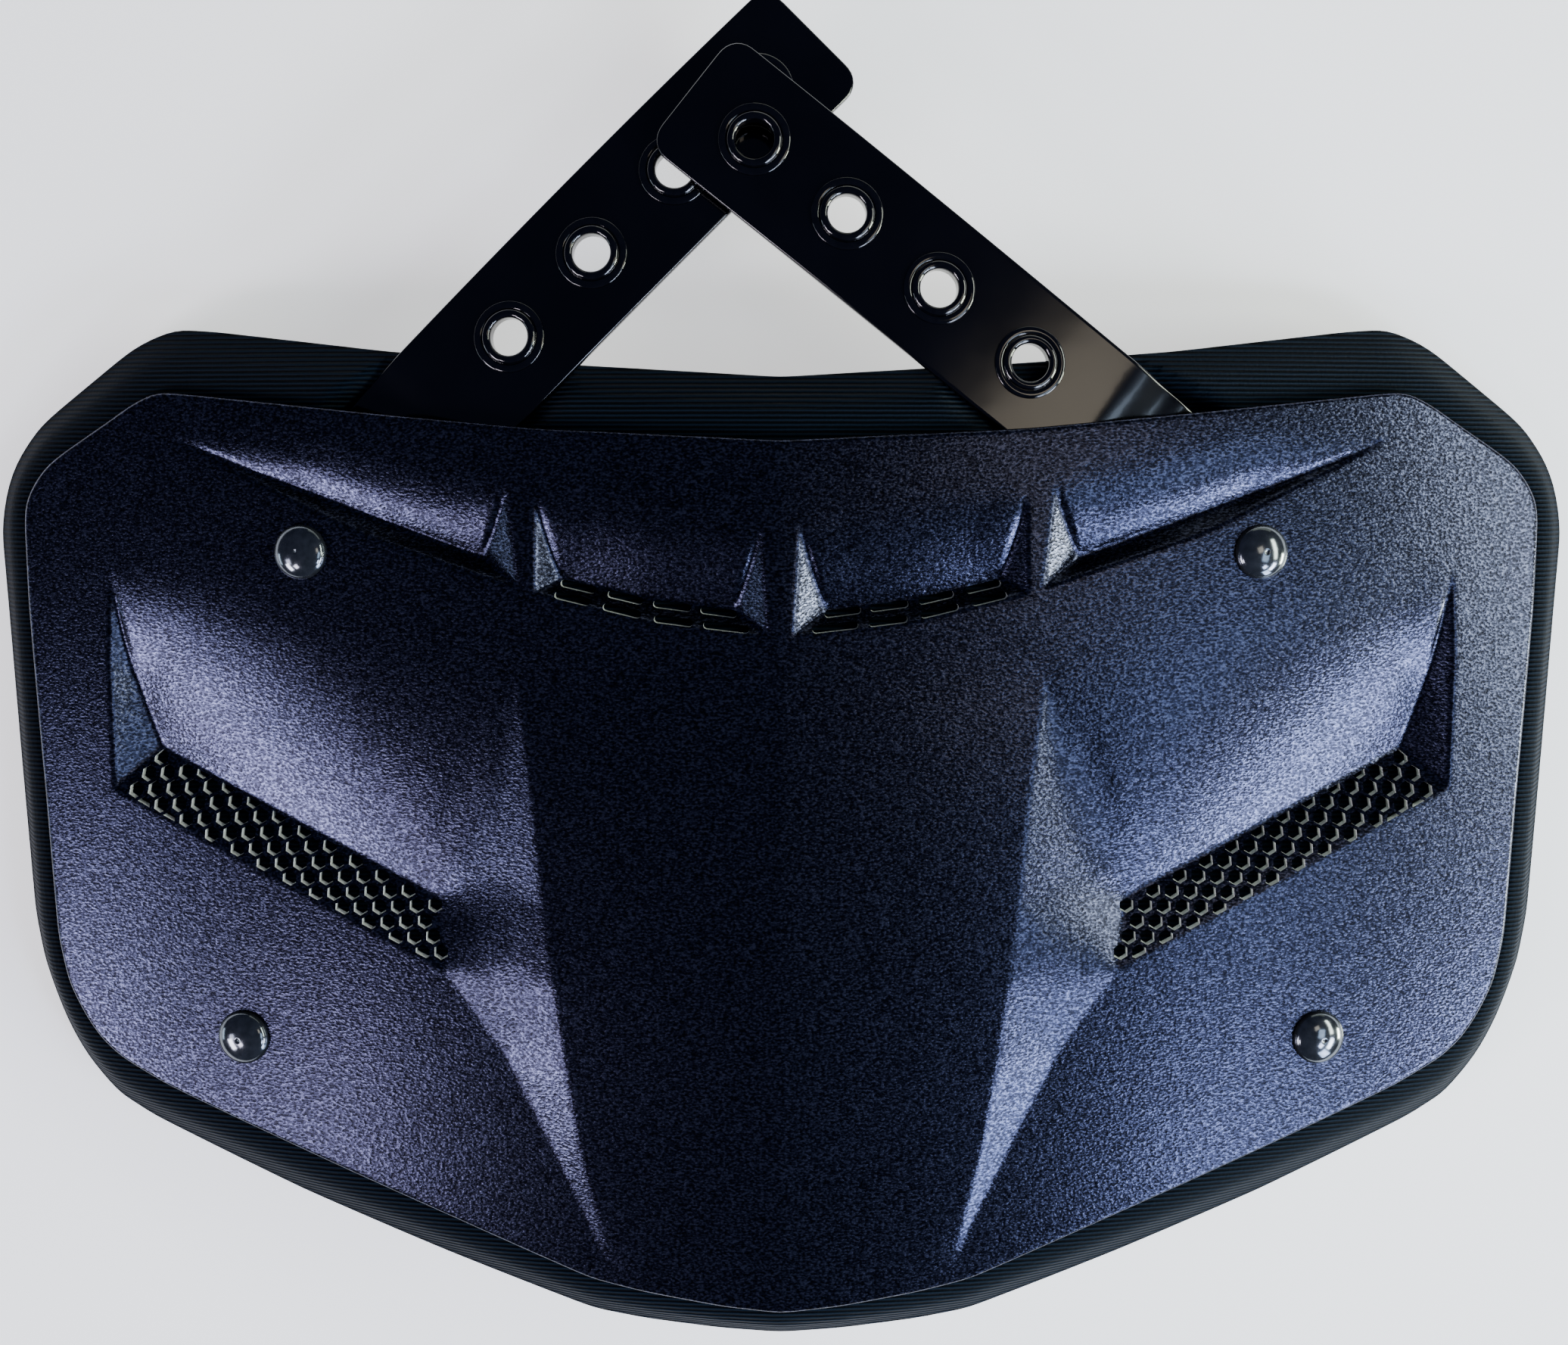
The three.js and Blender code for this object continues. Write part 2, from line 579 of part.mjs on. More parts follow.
function alongPolyline(names, share) {
  const points = names.map(cornerPoint);
  const place = share * (points.length - 1);
  const from = Math.min(Math.floor(place), points.length - 2);
  return points[from].clone().lerp(points[from + 1], place - from);
}

function ventPoint(row, share) {
  const rim = alongPolyline(['ridge_foot', 'vent_rim', 'vent_foot'], share);
  return rim.lerp(alongPolyline(['vent_deep_inner', 'vent_deep_middle', 'vent_deep_outer'], share), row);
}

// A cutter with this plan, reaching past the shell above and below.
function prism(points, hand) {
  const shape = new THREE.Shape(points.map((point) => new THREE.Vector2(hand * point.x, point.y)));
  const prismGeometry = new THREE.ExtrudeGeometry(shape, { depth: 3 * crownTop, bevelEnabled: false });
  prismGeometry.translate(0, 0, -crownTop);
  return solidOf(prismGeometry);
}

function slotCutters(hand) {
  const endSides = 3;
  return slots.map((slot) => {
    const from = ventPoint(slot.row, slot.from);
    const to = ventPoint(slot.row, slot.to);
    const turn = to.clone().sub(from).angle();
    const points = [];
    for (const [end, start] of [[to, turn - Math.PI / 2], [from, turn + Math.PI / 2]]) {
      const inset = end.clone().lerp(end === to ? from : to, slotHeight / 2 / from.distanceTo(to));
      for (let i = 0; i <= endSides; i++) {
        const angle = start + (Math.PI * i) / endSides;
        const corner = new THREE.Vector2(Math.cos(angle), Math.sin(angle));
        points.push(corner.multiplyScalar(slotHeight / 2).add(inset));
      }
    }
    return prism(points, hand);
  });
}

// Centres of the honeycomb on the cheek's lower wall: rows from its deep corner down, kept
// where a whole cell stays clear of the wall's edges.
function hexCentres() {
  const wallCorners = ['cheek_deep_corner', 'cheek_deep_inner', 'cheek_rim_inner', 'cheek_rim_corner'];
  const wall = wallCorners.map(cornerPoint);
  const tilt = THREE.MathUtils.degToRad(hexRowTilt);
  const step = new THREE.Vector2(-hexPitch * Math.cos(tilt), hexPitch * Math.sin(tilt));
  const rowStep = new THREE.Vector2(hexRowShift, -hexRowStep);
  const start = wall[0].clone().add(new THREE.Vector2(0, -hexStartDrop));
  const rows = Math.ceil((wall[0].y - wall[2].y) / hexRowStep) + 1;
  const columns = Math.ceil(wall[0].distanceTo(wall[2]) / hexPitch);
  const margins = [hexMargin, 0, hexMargin, hexEndMargin];
  const clearOfEdges = (centre) => wall.every((from, i) => {
    const to = wall[(i + 1) % wall.length];
    const edge = to.clone().sub(from).normalize();
    const offset = centre.clone().sub(from);
    return edge.x * offset.y - edge.y * offset.x >= margins[i];
  });
  const centres = [];
  for (let row = 0; row < rows; row++) {
    for (let column = -columns; column < columns; column++) {
      const shift = column + (row % 2) / 2;
      const centre = start.clone().addScaledVector(rowStep, row).addScaledVector(step, shift);
      if (clearOfEdges(centre)) centres.push(centre);
    }
  }
  return centres;
}

function hexCutters(hand) {
  const radius = hexAcross / Math.sqrt(3);
  return hexCentres().map((centre) => {
    const points = [];
    for (let i = 0; i < 6; i++) {
      const angle = (Math.PI / 3) * i + Math.PI / 6;
      points.push(new THREE.Vector2(radius * Math.cos(angle), radius * Math.sin(angle)).add(centre));
    }
    return prism(points, hand);
  });
}

// Main pieces

function shellSolid(plan, rivets) {
  const positions = [];
  for (const lift of [0, -plateThickness]) {
    for (const vertex of plan.vertices) {
      positions.push(vertex.x, vertex.y, plainHeight(vertex.x, vertex.y) + vertex.rise + lift);
    }
  }
  const below = plan.vertices.length;
  const triangles = [];
  for (const [a, b, c] of plan.triangles) triangles.push(a, b, c, below + a, below + c, below + b);
  plan.rim.forEach((here, i) => {
    const there = plan.rim[(i + 1) % plan.rim.length];
    triangles.push(here, there, below + there, here, below + there, below + here);
  });
  const cutters = [-1, 1].flatMap((hand) => [...slotCutters(hand), ...hexCutters(hand)]);
  for (const rivet of rivets) cutters.push(rivetBores(rivet, rivetShank / 2 + fitGap));
  return cutAll(toSolid(positions, triangles), cutters);
}

function archSolid() {
  const half = halfPad - footWidth;
  const points = [new THREE.Vector2(half, -crownTop)];
  for (let i = 0; i <= archSides; i++) {
    const x = half * (1 - (2 * i) / archSides);
    points.push(new THREE.Vector2(x, archAt(x)));
  }
  points.push(new THREE.Vector2(-half, -crownTop));
  const length = 2 * padHeight;
  const shape = new THREE.Shape(points);
  const archGeometry = new THREE.ExtrudeGeometry(shape, { depth: length, bevelEnabled: false });
  archGeometry.rotateX(Math.PI / 2);
  archGeometry.translate(0, (length + padHeight) / 2, 0);
  return solidOf(archGeometry);
}

function padSolid(plan, rivets, straps) {
  const positions = [];
  const triangles = plan.triangles.flat();
  const frontDrop = plateThickness + fitGap;
  for (const vertex of plan.vertices) {
    positions.push(vertex.x, vertex.y, plainHeight(vertex.x, vertex.y) + vertex.rise - frontDrop);
  }
  let inner = plan.rim;
  const addRing = (pointOf) => {
    const outer = plan.rim.map((i) => {
      positions.push(...pointOf(plan.vertices[i]));
      return positions.length / 3 - 1;
    });
    inner.forEach((here, i) => {
      const next = (i + 1) % inner.length;
      triangles.push(here, inner[next], outer[next], here, outer[next], outer[i]);
    });
    inner = outer;
  };
  for (const step of border) {
    addRing((vertex) => {
      const outer = padRimPoint(vertex);
      const front = plainHeight(vertex.x, vertex.y) - frontDrop;
      const x = THREE.MathUtils.lerp(vertex.x, outer.x, step.out);
      const y = THREE.MathUtils.lerp(vertex.y, outer.y, step.out);
      return [x, y, THREE.MathUtils.lerp(front, archAt(outer.x) + padLip, step.down)];
    });
  }
  addRing((vertex) => {
    const outer = padRimPoint(vertex);
    return [outer.x, outer.y, 0];
  });
  const loop = inner.map((i) => new THREE.Vector2(positions[3 * i], positions[3 * i + 1]));
  for (const [a, b, c] of THREE.ShapeUtils.triangulateShape([...loop], [])) {
    const face = [inner[a], inner[b], inner[c]];
    const turn = loop[b].clone().sub(loop[a]).cross(loop[c].clone().sub(loop[a]));
    triangles.push(...(turn > 0 ? [face[0], face[2], face[1]] : face));
  }
  const cutters = [archSolid()];
  const eyeletFoot = strapThickness / 2 + eyeletFlangeThickness + 2 * fitGap;
  for (const path of straps) {
    cutters.push(ribbonSolid(path, -strapThickness / 2 - fitGap, crownTop, fitGap));
    for (const distance of eyeletDistances()) {
      const [point, axis] = [path.middleAt(distance), path.normalAt(distance)];
      cutters.push(rod(point, axis, eyeletFlange / 2 + fitGap, -eyeletFoot, crownTop));
    }
  }
  for (const rivet of rivets) {
    cutters.push(rivetBores(rivet, rivetShank / 2 + fitGap));
    cutters.push(rod(rivet.seat, rivet.axis, rivetTail / 2 + fitGap, -2 * rivet.grip, -rivet.grip + fitGap));
  }
  return cutAll(toSolid(positions, triangles), cutters);
}

function strapSolid(path, rivet) {
  const cutters = eyeletDistances().map((distance) => {
    const radius = eyeletBore / 2 + eyeletBarrelWall + fitGap;
    return rod(path.middleAt(distance), path.normalAt(distance), radius, -strapWidth, strapWidth);
  });
  cutters.push(rivetBores(rivet, rivetShank / 2 + fitGap));
  return cutAll(ribbonSolid(path, -strapThickness / 2, strapThickness / 2, 0), cutters);
}

// Materials

function shellMaterial() {
  return new THREE.MeshStandardMaterial({ color: 0x23243c, roughness: 0.42, metalness: 0.55 });
}

function knitMaterial() {
  return new THREE.MeshStandardMaterial({ color: 0x15181c, roughness: 0.95, metalness: 0 });
}

function vinylMaterial() {
  return new THREE.MeshStandardMaterial({ color: 0x060708, roughness: 0.12, metalness: 0 });
}

function enamelMaterial() {
  return new THREE.MeshStandardMaterial({ color: 0x08090b, roughness: 0.15, metalness: 0.4 });
}

// Assembly

const backplate = new THREE.Group();

function addMesh(name, geometry, material, place, axis) {
  const mesh = new THREE.Mesh(geometry, material);
  mesh.name = name;
  if (place) mesh.position.copy(place);
  if (axis) mesh.quaternion.setFromUnitVectors(THREE.Object3D.DEFAULT_UP, axis);
  backplate.add(mesh);
}

const plan = wholePlan();
const rivets = rivetPlaces();
const paths = { left: strapPath('left'), right: strapPath('right') };

addMesh('shell_plate', geometryOf(shellSolid(plan, rivets)), shellMaterial());
addMesh('foam_pad', geometryOf(padSolid(plan, rivets, Object.values(paths))), knitMaterial());
for (const [side, path] of Object.entries(paths)) {
  const rivet = rivets.find((place) => place.name === `rivet_upper_${side}`);
  addMesh(`strap_${side}`, geometryOf(strapSolid(path, rivet)), vinylMaterial());
  eyeletDistances().forEach((distance, i) => {
    const name = `eyelet_${side}_${i + 1}`;
    addMesh(name, eyeletGeometry(), enamelMaterial(), path.middleAt(distance), path.normalAt(distance));
  });
}
for (const rivet of rivets) {
  addMesh(rivet.name, rivetGeometry(rivet.grip), enamelMaterial(), rivet.seat, rivet.axis);
}

// The origin is under the centre of the whole object.
backplate.updateMatrixWorld(true);
const reach = new THREE.Box3().setFromObject(backplate, true);
backplate.position.y = -(reach.min.y + reach.max.y) / 2;

export default backplate;
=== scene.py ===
"""A football backplate lying on its pad: painted moulded shell, ribbed knit pad, vinyl straps, eyelets and rivets.

Lengths inside the shape functions are millimetres. x runs across the plate, y up from the lower
tip of the shell, z up from the surface it lies on. place() turns them into the frame's metres.
"""

import math

import bpy
import numpy as np
from mathutils import Matrix, Vector
from mathutils.geometry import delaunay_2d_cdt


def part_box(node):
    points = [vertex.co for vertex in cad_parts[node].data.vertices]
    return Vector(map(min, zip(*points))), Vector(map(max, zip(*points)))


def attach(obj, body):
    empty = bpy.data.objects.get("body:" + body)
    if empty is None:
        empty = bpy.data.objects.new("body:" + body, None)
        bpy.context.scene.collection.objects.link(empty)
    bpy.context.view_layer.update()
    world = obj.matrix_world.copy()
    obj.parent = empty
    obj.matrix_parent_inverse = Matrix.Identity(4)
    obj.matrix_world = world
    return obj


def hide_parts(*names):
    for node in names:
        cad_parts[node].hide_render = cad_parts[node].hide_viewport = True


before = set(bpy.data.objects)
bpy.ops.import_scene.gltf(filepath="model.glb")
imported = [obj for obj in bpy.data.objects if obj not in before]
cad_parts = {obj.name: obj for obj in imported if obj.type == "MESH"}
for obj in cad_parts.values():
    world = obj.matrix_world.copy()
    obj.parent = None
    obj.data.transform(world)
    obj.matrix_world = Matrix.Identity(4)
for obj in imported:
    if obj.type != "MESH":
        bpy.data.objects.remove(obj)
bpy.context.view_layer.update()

MM = 0.001

# Sizes read from the frame

shell_low, shell_high = [np.array(corner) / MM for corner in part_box("shell_plate")]
pad_low, pad_high = [np.array(corner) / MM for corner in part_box("foam_pad")]
TIP_Y = shell_low[1]
HALF_PLATE = (shell_high[0] - shell_low[0]) / 2
PLATE_HEIGHT = shell_high[1] - shell_low[1]
HALF_PAD = (pad_high[0] - pad_low[0]) / 2
PAD_HEIGHT = pad_high[1] - pad_low[1]
PAD_BELOW_TIP = shell_low[1] - pad_low[1]

# Sizes of the surfaces

PLATE_THICKNESS = 2.5
ARCH_HEIGHT = 28.7
ARCH_POWER = 1.8
FOOT_WIDTH = 7
PAD_LIP = 3
FIT_GAP = 0.3
CROWN_TOP = ARCH_HEIGHT + 14 + FIT_GAP + PLATE_THICKNESS
CROWN_UP = 0.45
ACROSS_RADIUS = 700
ALONG_RADIUS = 1400
KEEL_SLOPE = 0.05
KEEL_ROUNDING = 0.7
BROW_DEPTH = 5
VENT_DEPTH = 5.5
CHEEK_DEPTH = 8.5
PANEL_RISE = 5
FLOOR_POWER = 1.7
CREASE_RADIUS = 0.75
BLEND_RADIUS = 7
BLEND_GROWTH = 0.85
BLEND_RINGS = ((0.36, 6), (0.68, 12), (0.95, 16))
EDGE_RADIUS = 0.9
UNDER_EDGE_RADIUS = 0.4

STRAP_WIDTH = 30.4
STRAP_THICKNESS = 2
STRAP_TAIL = 12
STRAP_REACH = 161
STRAP_CORNER = 5
STRAP_EDGE_RADIUS = 0.5
STRAP_BED_GAP = 0.25
STRAP_BED_MARGIN = 0.3
STRAP_BED_SLOPE = 1.3
STRAP_KEEL_ROUNDING = 30
DROOP_START = 50
STRAPS = {
    "left": dict(hand=1, angle=45, droop=7),
    "right": dict(hand=-1, angle=38.5, droop=-1.6),
}
STRAP_LIE_ALONG = (-0.1, 0.02, 0.08, 0.15, 0.22, 0.3)
STRAP_LIE_SUNK = (0.05, 0.25, 0.88, 0.9, 0.5, 0.12)

EYELET_COUNT = 4
FIRST_EYELET = 66.5
EYELET_PITCH = 25.6
EYELET_BORE = 4.15
EYELET_FLANGE = 7.9
EYELET_GROOVE = 6.1
EYELET_CROWN = 1.15
EYELET_FLANGE_CROWN = 0.6
EYELET_EDGE = 0.25

RIVET_HEAD = 6.1
RIVET_HEIGHT = 3.4
RIVET_RIM = 0.45
RIVET_SHANK = 2.2
RIVET_TAIL = 5
RIVET_TAIL_THICKNESS = 1.2
RIVET_TAIL_RECESS = 0.4
DIMPLE_RADIUS = 6.2
DIMPLE_EXTRA = 0.5
RIVETS = {"upper": (0.611, 0.828), "lower": (0.703, 0.29)}

HEX_RADIUS = 3.05 / math.sqrt(3)
HEX_PITCH = 4.2
HEX_ROW_STEP = 3.36
HEX_START_DROP = 2.04
HEX_ROW_TILT = 2.3
HEX_ROW_SHIFT = 0.15
HEX_ROWS = range(-1, 17)
HEX_COLUMNS = range(-6, 28)
HEX_WALL_MARGIN = 0.35
HEX_LEAST_SHARE = 0.32
SLOT_HEIGHT = 1.6
RIB_PITCH = 1.05

# Spacings of the meshes' points

RIM_SPACING, RIM_SOFTNESS = 1.6, 2.2
CREASE_SPACING = 1.4
CREASE_OFFSETS = (0, -0.4, 0.4, -0.9, 0.9, -1.6, 1.6)
KEEL_LINES = (-0.9, -0.3, 0.3, 0.9)
KEEL_FROM, KEEL_TO, KEEL_COUNT = 1.5, 193, 160
SHELL_SPACING = 2.1
SHELL_INSETS = (0, 0.06, 0.25, 0.55, 0.9, 1.5)
STRAP_SPACING = 2.2
STRAP_INSETS = (0, 0.08, 0.25, 0.5, 0.9)
PAD_SPACING = 3.0
PAD_SHARP_ANGLE = 60

# Stations round the right half: shell across and up, pad across and up, as shares of their sizes.
OUTLINE = (
    (0, 0.946, 0, 0.95), (0.31, 0.959, 0.295, 0.964), (0.502, 0.974, 0.479, 0.976),
    (0.754, 0.996, 0.7, 0.997), (0.808, 1, 0.755, 1), (0.844, 0.986, 0.807, 0.984),
    (0.863, 0.975, 0.835, 0.968), (0.945, 0.932, 0.933, 0.912), (0.968, 0.918, 0.955, 0.896),
    (0.986, 0.898, 0.978, 0.869), (0.998, 0.879, 0.993, 0.839), (1, 0.86, 1, 0.801),
    (0.996, 0.766, 0.995, 0.723), (0.978, 0.554, 0.985, 0.555), (0.967, 0.39, 0.975, 0.402),
    (0.954, 0.337, 0.964, 0.346), (0.932, 0.301, 0.938, 0.291), (0.91, 0.275, 0.91, 0.252),
    (0.882, 0.255, 0.867, 0.215), (0.817, 0.227, 0.815, 0.193), (0.625, 0.163, 0.613, 0.128),
    (0.425, 0.096, 0.427, 0.074), (0.244, 0.033, 0.235, 0.0205), (0.175, 0.02, 0.17, 0.012),
    (0.074, 0.006, 0.077, 0.004), (0, 0, 0, 0),
)

# Corners of the relief on the right half: across, up, and the rise in millimetres.
CORNERS = {
    "ridge_top": (0, 0.862, 0), "ridge_apex": (0.024, 0.862, 0), "ridge_foot": (0.015, 0.742, 0),
    "vent_fade": (0.161, 0.881, 0), "vent_apex": (0.307, 0.891, 0), "vent_foot": (0.309, 0.786, 0),
    "vent_rim": (0.15, 0.754, 0), "vent_deep_inner": (0.058, 0.768, -VENT_DEPTH),
    "vent_deep_middle": (0.168, 0.78, -VENT_DEPTH), "vent_deep_outer": (0.276, 0.8, -VENT_DEPTH),
    "brow_apex": (0.344, 0.901, 0), "brow_foot": (0.328, 0.792, 0), "brow_rim": (0.544, 0.852, 0),
    "brow_tip": (0.8, 0.955, 0), "brow_fade": (0.574, 0.935, 0),
    "brow_deep_middle": (0.603, 0.891, -0.7 * BROW_DEPTH), "brow_deep": (0.378, 0.822, -BROW_DEPTH),
    "cheek_fade_inner": (0.417, 0.7, 0), "cheek_fade_middle": (0.565, 0.738, 0),
    "cheek_fade_outer": (0.715, 0.782, 0), "cheek_apex": (0.875, 0.805, 0),
    "cheek_rim_side": (0.88, 0.709, 0), "cheek_rim_corner": (0.876, 0.562, 0),
    "cheek_rim_inner": (0.429, 0.377, 0), "cheek_deep_side": (0.85, 0.682, -0.6 * CHEEK_DEPTH),
    "cheek_deep_corner": (0.821, 0.605, -CHEEK_DEPTH), "cheek_deep_inner": (0.443, 0.453, -0.52 * CHEEK_DEPTH),
    "blade_foot_a": (0.35, 0.284, 0), "blade_foot_b": (0.296, 0.191, 0), "blade_foot_c": (0.258, 0.122, 0),
}

# Rows of the raised centre panel: edge across, edge up, centre up, share of the rise.
PANEL_ROWS = (
    (0.332, 0.696, 0.716, 0), (0.313, 0.575, 0.575, 0.32), (0.3, 0.453, 0.453, 0.56), (0.288, 0.37, 0.37, 0.74),
    (0.272, 0.273, 0.273, 0.72), (0.257, 0.19, 0.19, 0.44), (0.241, 0.127, 0.127, 0.22),
    (0.226, 0.059, 0.059, 0),
)
for row, (across, up, centre_up, share) in enumerate(PANEL_ROWS):
    CORNERS[f"panel_edge_{row}"] = (across, up, share * PANEL_RISE)
    CORNERS[f"panel_centre_{row}"] = (0, centre_up, share * PANEL_RISE)

# Scooped floors: their fading edge and their crease, where the floor is deepest.
FLOORS = (
    (("vent_apex", "vent_fade", "ridge_apex"), ("vent_deep_inner", "vent_deep_middle", "vent_deep_outer")),
    (("brow_tip", "brow_fade", "brow_apex"), ("brow_deep", "brow_deep_middle")),
    (("panel_edge_0", "cheek_fade_inner", "cheek_fade_middle", "cheek_fade_outer", "cheek_apex"),
     ("cheek_deep_side", "cheek_deep_corner", "cheek_deep_inner")),
)

# Lines of the relief, each a run of corners that stays crisp.
CREASES = (
    ("vent_apex", "vent_deep_outer", "vent_deep_middle", "vent_deep_inner", "ridge_apex", "ridge_foot",
     "vent_rim", "vent_foot", "vent_apex"),
    ("ridge_foot", "vent_deep_inner"),
    ("vent_foot", "vent_deep_outer"),
    ("brow_tip", "brow_rim", "brow_foot", "brow_apex", "brow_deep", "brow_deep_middle", "brow_tip"),
    ("brow_foot", "brow_deep"),
    ("cheek_apex", "cheek_rim_side", "cheek_rim_corner", "cheek_rim_inner", "blade_foot_a", "blade_foot_b",
     "blade_foot_c", "panel_edge_7"),
    ("cheek_apex", "cheek_deep_side", "cheek_deep_corner", "cheek_deep_inner", "cheek_rim_inner"),
    ("cheek_deep_corner", "cheek_rim_corner"),
    ("panel_edge_0", "panel_edge_1", "panel_edge_2", "panel_edge_3", "panel_edge_4", "panel_edge_5",
     "panel_edge_6", "panel_edge_7"),
)

# Lines between facets that blend into each other.
BLENDS = (("cheek_deep_inner", "panel_edge_0"), ("cheek_deep_inner", "panel_edge_1"))

# Slots of a vent: row as a share of the way from the rim down, then the ends along the wall.
SLOTS = (
    (0.2, 0.06, 0.28), (0.2, 0.33, 0.515), (0.2, 0.57, 0.73), (0.2, 0.785, 0.935),
    (0.82, 0.02, 0.22), (0.82, 0.27, 0.48), (0.82, 0.535, 0.725), (0.82, 0.79, 0.98),
)

# Camera of the photograph: where it stands and looks, in millimetres from the origin, and its lens.
CAMERA_AT = (1, 47.9, 478.2)
CAMERA_AIM = (0.7, 0.9, 25)
PHOTO_WIDTH = 2072
FOCAL_PIXELS = 2669
SENSOR_WIDTH = 36
FLOOR_REACH = 4000
FLOOR_BELOW = 0.05

# Lamps on a dome round the plate: azimuth from the right toward the straps and tilt from overhead
# in degrees, level width and height in metres, power and colour.
LAMP_DISTANCE = 1.3
WORLD_COLOUR = (0.33, 0.45, 1.0, 1)
WORLD_STRENGTH = 0.1
LAMPS = (
    ("right_side_lamp", 10, 58, 0.8, 0.18, 10, (0.92, 1, 0.85)),
    ("right_sheen_lamp", 20, 27, 0.26, 0.26, 0.66, (1, 0.88, 0.7)),
    ("right_low_lamp", -9, 83, 0.37, 0.18, 20, (0.92, 1, 0.8)),
    ("right_front_lamp", 311, 68, 0.32, 0.5, 11, (0.62, 0.74, 1)),
    ("right_cheek_lamp", 332, 63, 0.4, 0.2, 12, (0.76, 0.84, 1)),
    ("right_brow_lamp", 321, 47, 0.22, 0.18, 4, (0.68, 0.77, 1)),
    ("right_upper_lamp", 350, 37, 0.4, 0.3, 2.1, (0.62, 0.78, 1)),
    ("left_side_lamp", 197, 57, 0.22, 0.22, 1.5, (0.86, 0.82, 1)),
    ("left_cheek_lamp", 210, 63, 0.4, 0.22, 8.6, (0.93, 0.87, 1)),
    ("left_front_lamp", 217, 47, 0.22, 0.18, 2.9, (0.96, 0.86, 1)),
    ("left_low_lamp", 190, 83, 0.4, 0.18, 1.3, (0.72, 0.86, 1)),
    ("top_low_lamp", 69, 85, 1.1, 0.46, 1.4, (0.95, 1, 0.8)),
)


# Plan of the shell


def corner_xy(name):
    across, up, _ = CORNERS[name]
    return np.array([across * HALF_PLATE, up * PLATE_HEIGHT])


def relief_triangles():
    """Splits the right half into triangles between the named corners and the outline.
    Returns the corners' x, y, rise and floor share, and the triangles with a floor flag."""
    names = list(CORNERS)
    plan = [(*corner_xy(name), CORNERS[name][2]) for name in names]
    plan += [(a * HALF_PLATE, u * PLATE_HEIGHT, 0) for a, u, _, _ in OUTLINE]
    plan = np.array(plan, dtype=float)
    index = {name: i for i, name in enumerate(names)}
    edges = [(index[a], index[b]) for line in CREASES + BLENDS for a, b in zip(line, line[1:])]
    for fade, _ in FLOORS:
        edges += [(index[a], index[b]) for a, b in zip(fade, fade[1:])]
    first = len(names)
    edges += [(first + i, first + i + 1) for i in range(len(OUTLINE) - 1)]
    for i in range(len(PANEL_ROWS) - 1):
        edges += [(index[f"panel_centre_{i}"], index[f"panel_centre_{i + 1}"])]
        edges += [(index[f"panel_centre_{i}"], index[f"panel_edge_{i}"])]
    out = delaunay_2d_cdt([Vector(p[:2]) for p in plan], edges, [], 0, 1e-6)
    back = np.array([origin[0] if origin else -1 for origin in out[3]])
    faces = np.array([[back[v] for v in face] for face in out[2]])
    faces = faces[(faces >= 0).all(axis=1)]
    floors = []
    for fade, crease in FLOORS:
        share = np.zeros(len(plan))
        share[[index[name] for name in crease]] = 1
        members = [index[name] for name in fade + crease]
        inside = np.isin(faces, members).all(axis=1)
        touches = np.isin(faces, [index[name] for name in fade]).any(axis=1)
        floors.append((share, inside & touches))
    return plan, faces, floors


PLAN, PLAN_FACES, PLAN_FLOORS = relief_triangles()


def faceted_rise(x, y):
    """Rise of the relief: linear over each triangle between its corners, and over a scooped
    floor the corner depths times a power of the share of the way from fade to crease."""
    x = np.abs(x)
    rise = np.zeros_like(x)
    for f, (a, b, c) in enumerate(PLAN_FACES):
        (ax, ay, az), (bx, by, bz), (cx, cy, cz) = PLAN[a], PLAN[b], PLAN[c]
        area = (bx - ax) * (cy - ay) - (cx - ax) * (by - ay)
        if abs(area) < 1e-9:
            continue
        u = ((bx - x) * (cy - y) - (cx - x) * (by - y)) / area
        v = ((cx - x) * (ay - y) - (ax - x) * (cy - y)) / area
        w = 1 - u - v
        inside = (u >= -1e-7) & (v >= -1e-7) & (w >= -1e-7)
        value = u * az + v * bz + w * cz
        for share, on_floor in PLAN_FLOORS:
            if on_floor[f]:
                level = np.clip(u * share[a] + v * share[b] + w * share[c], 0, 1)
                value = np.where(level > 0, value * level ** (FLOOR_POWER - 1), 0)
        rise = np.where(inside, value, rise)
    return rise


def crease_distance(x, y):
    """Distance to the nearest crisp line of the relief."""
    x = np.abs(x)
    nearest = np.full_like(x, np.inf)
    for line in CREASES:
        for a, b in zip(map(corner_xy, line), map(corner_xy, line[1:])):
            ahead = b - a
            along = np.clip(((x - a[0]) * ahead[0] + (y - a[1]) * ahead[1]) / ahead.dot(ahead), 0, 1)
            nearest = np.minimum(nearest, np.hypot(x - a[0] - along * ahead[0], y - a[1] - along * ahead[1]))
    return nearest


def smooth_rise(x, y):
    """The relief averaged over a disc round each point: a small one that rounds the crisp lines,
    and away from them one that grows with the distance and blends the facets."""
    radius = np.clip(BLEND_GROWTH * crease_distance(x, y), CREASE_RADIUS, BLEND_RADIUS)
    total = faceted_rise(x, y)
    count = 1
    for ring, steps in BLEND_RINGS:
        for turn in np.arange(steps) * 2 * math.pi / steps:
            total += faceted_rise(x + ring * radius * math.cos(turn), y + ring * radius * math.sin(turn))
            count += 1
    return total / count


def plain_height(x, y, rounding=KEEL_ROUNDING):
    """Height of the shell's plain face: a crown curved across and along, with a keel."""
    keel = KEEL_SLOPE * np.hypot(x, rounding)
    along = (y - CROWN_UP * PLATE_HEIGHT) ** 2 / (2 * ALONG_RADIUS)
    return CROWN_TOP - keel - x**2 / (2 * ACROSS_RADIUS) - along


def plain_normal(x, y):
    """Unit normal of the plain face, from its slopes away from the keel's rounding."""
    across = KEEL_SLOPE * math.copysign(1, x) + x / ACROSS_RADIUS
    normal = np.array([across, (y - CROWN_UP * PLATE_HEIGHT) / ALONG_RADIUS, 1])
    return normal / np.linalg.norm(normal)


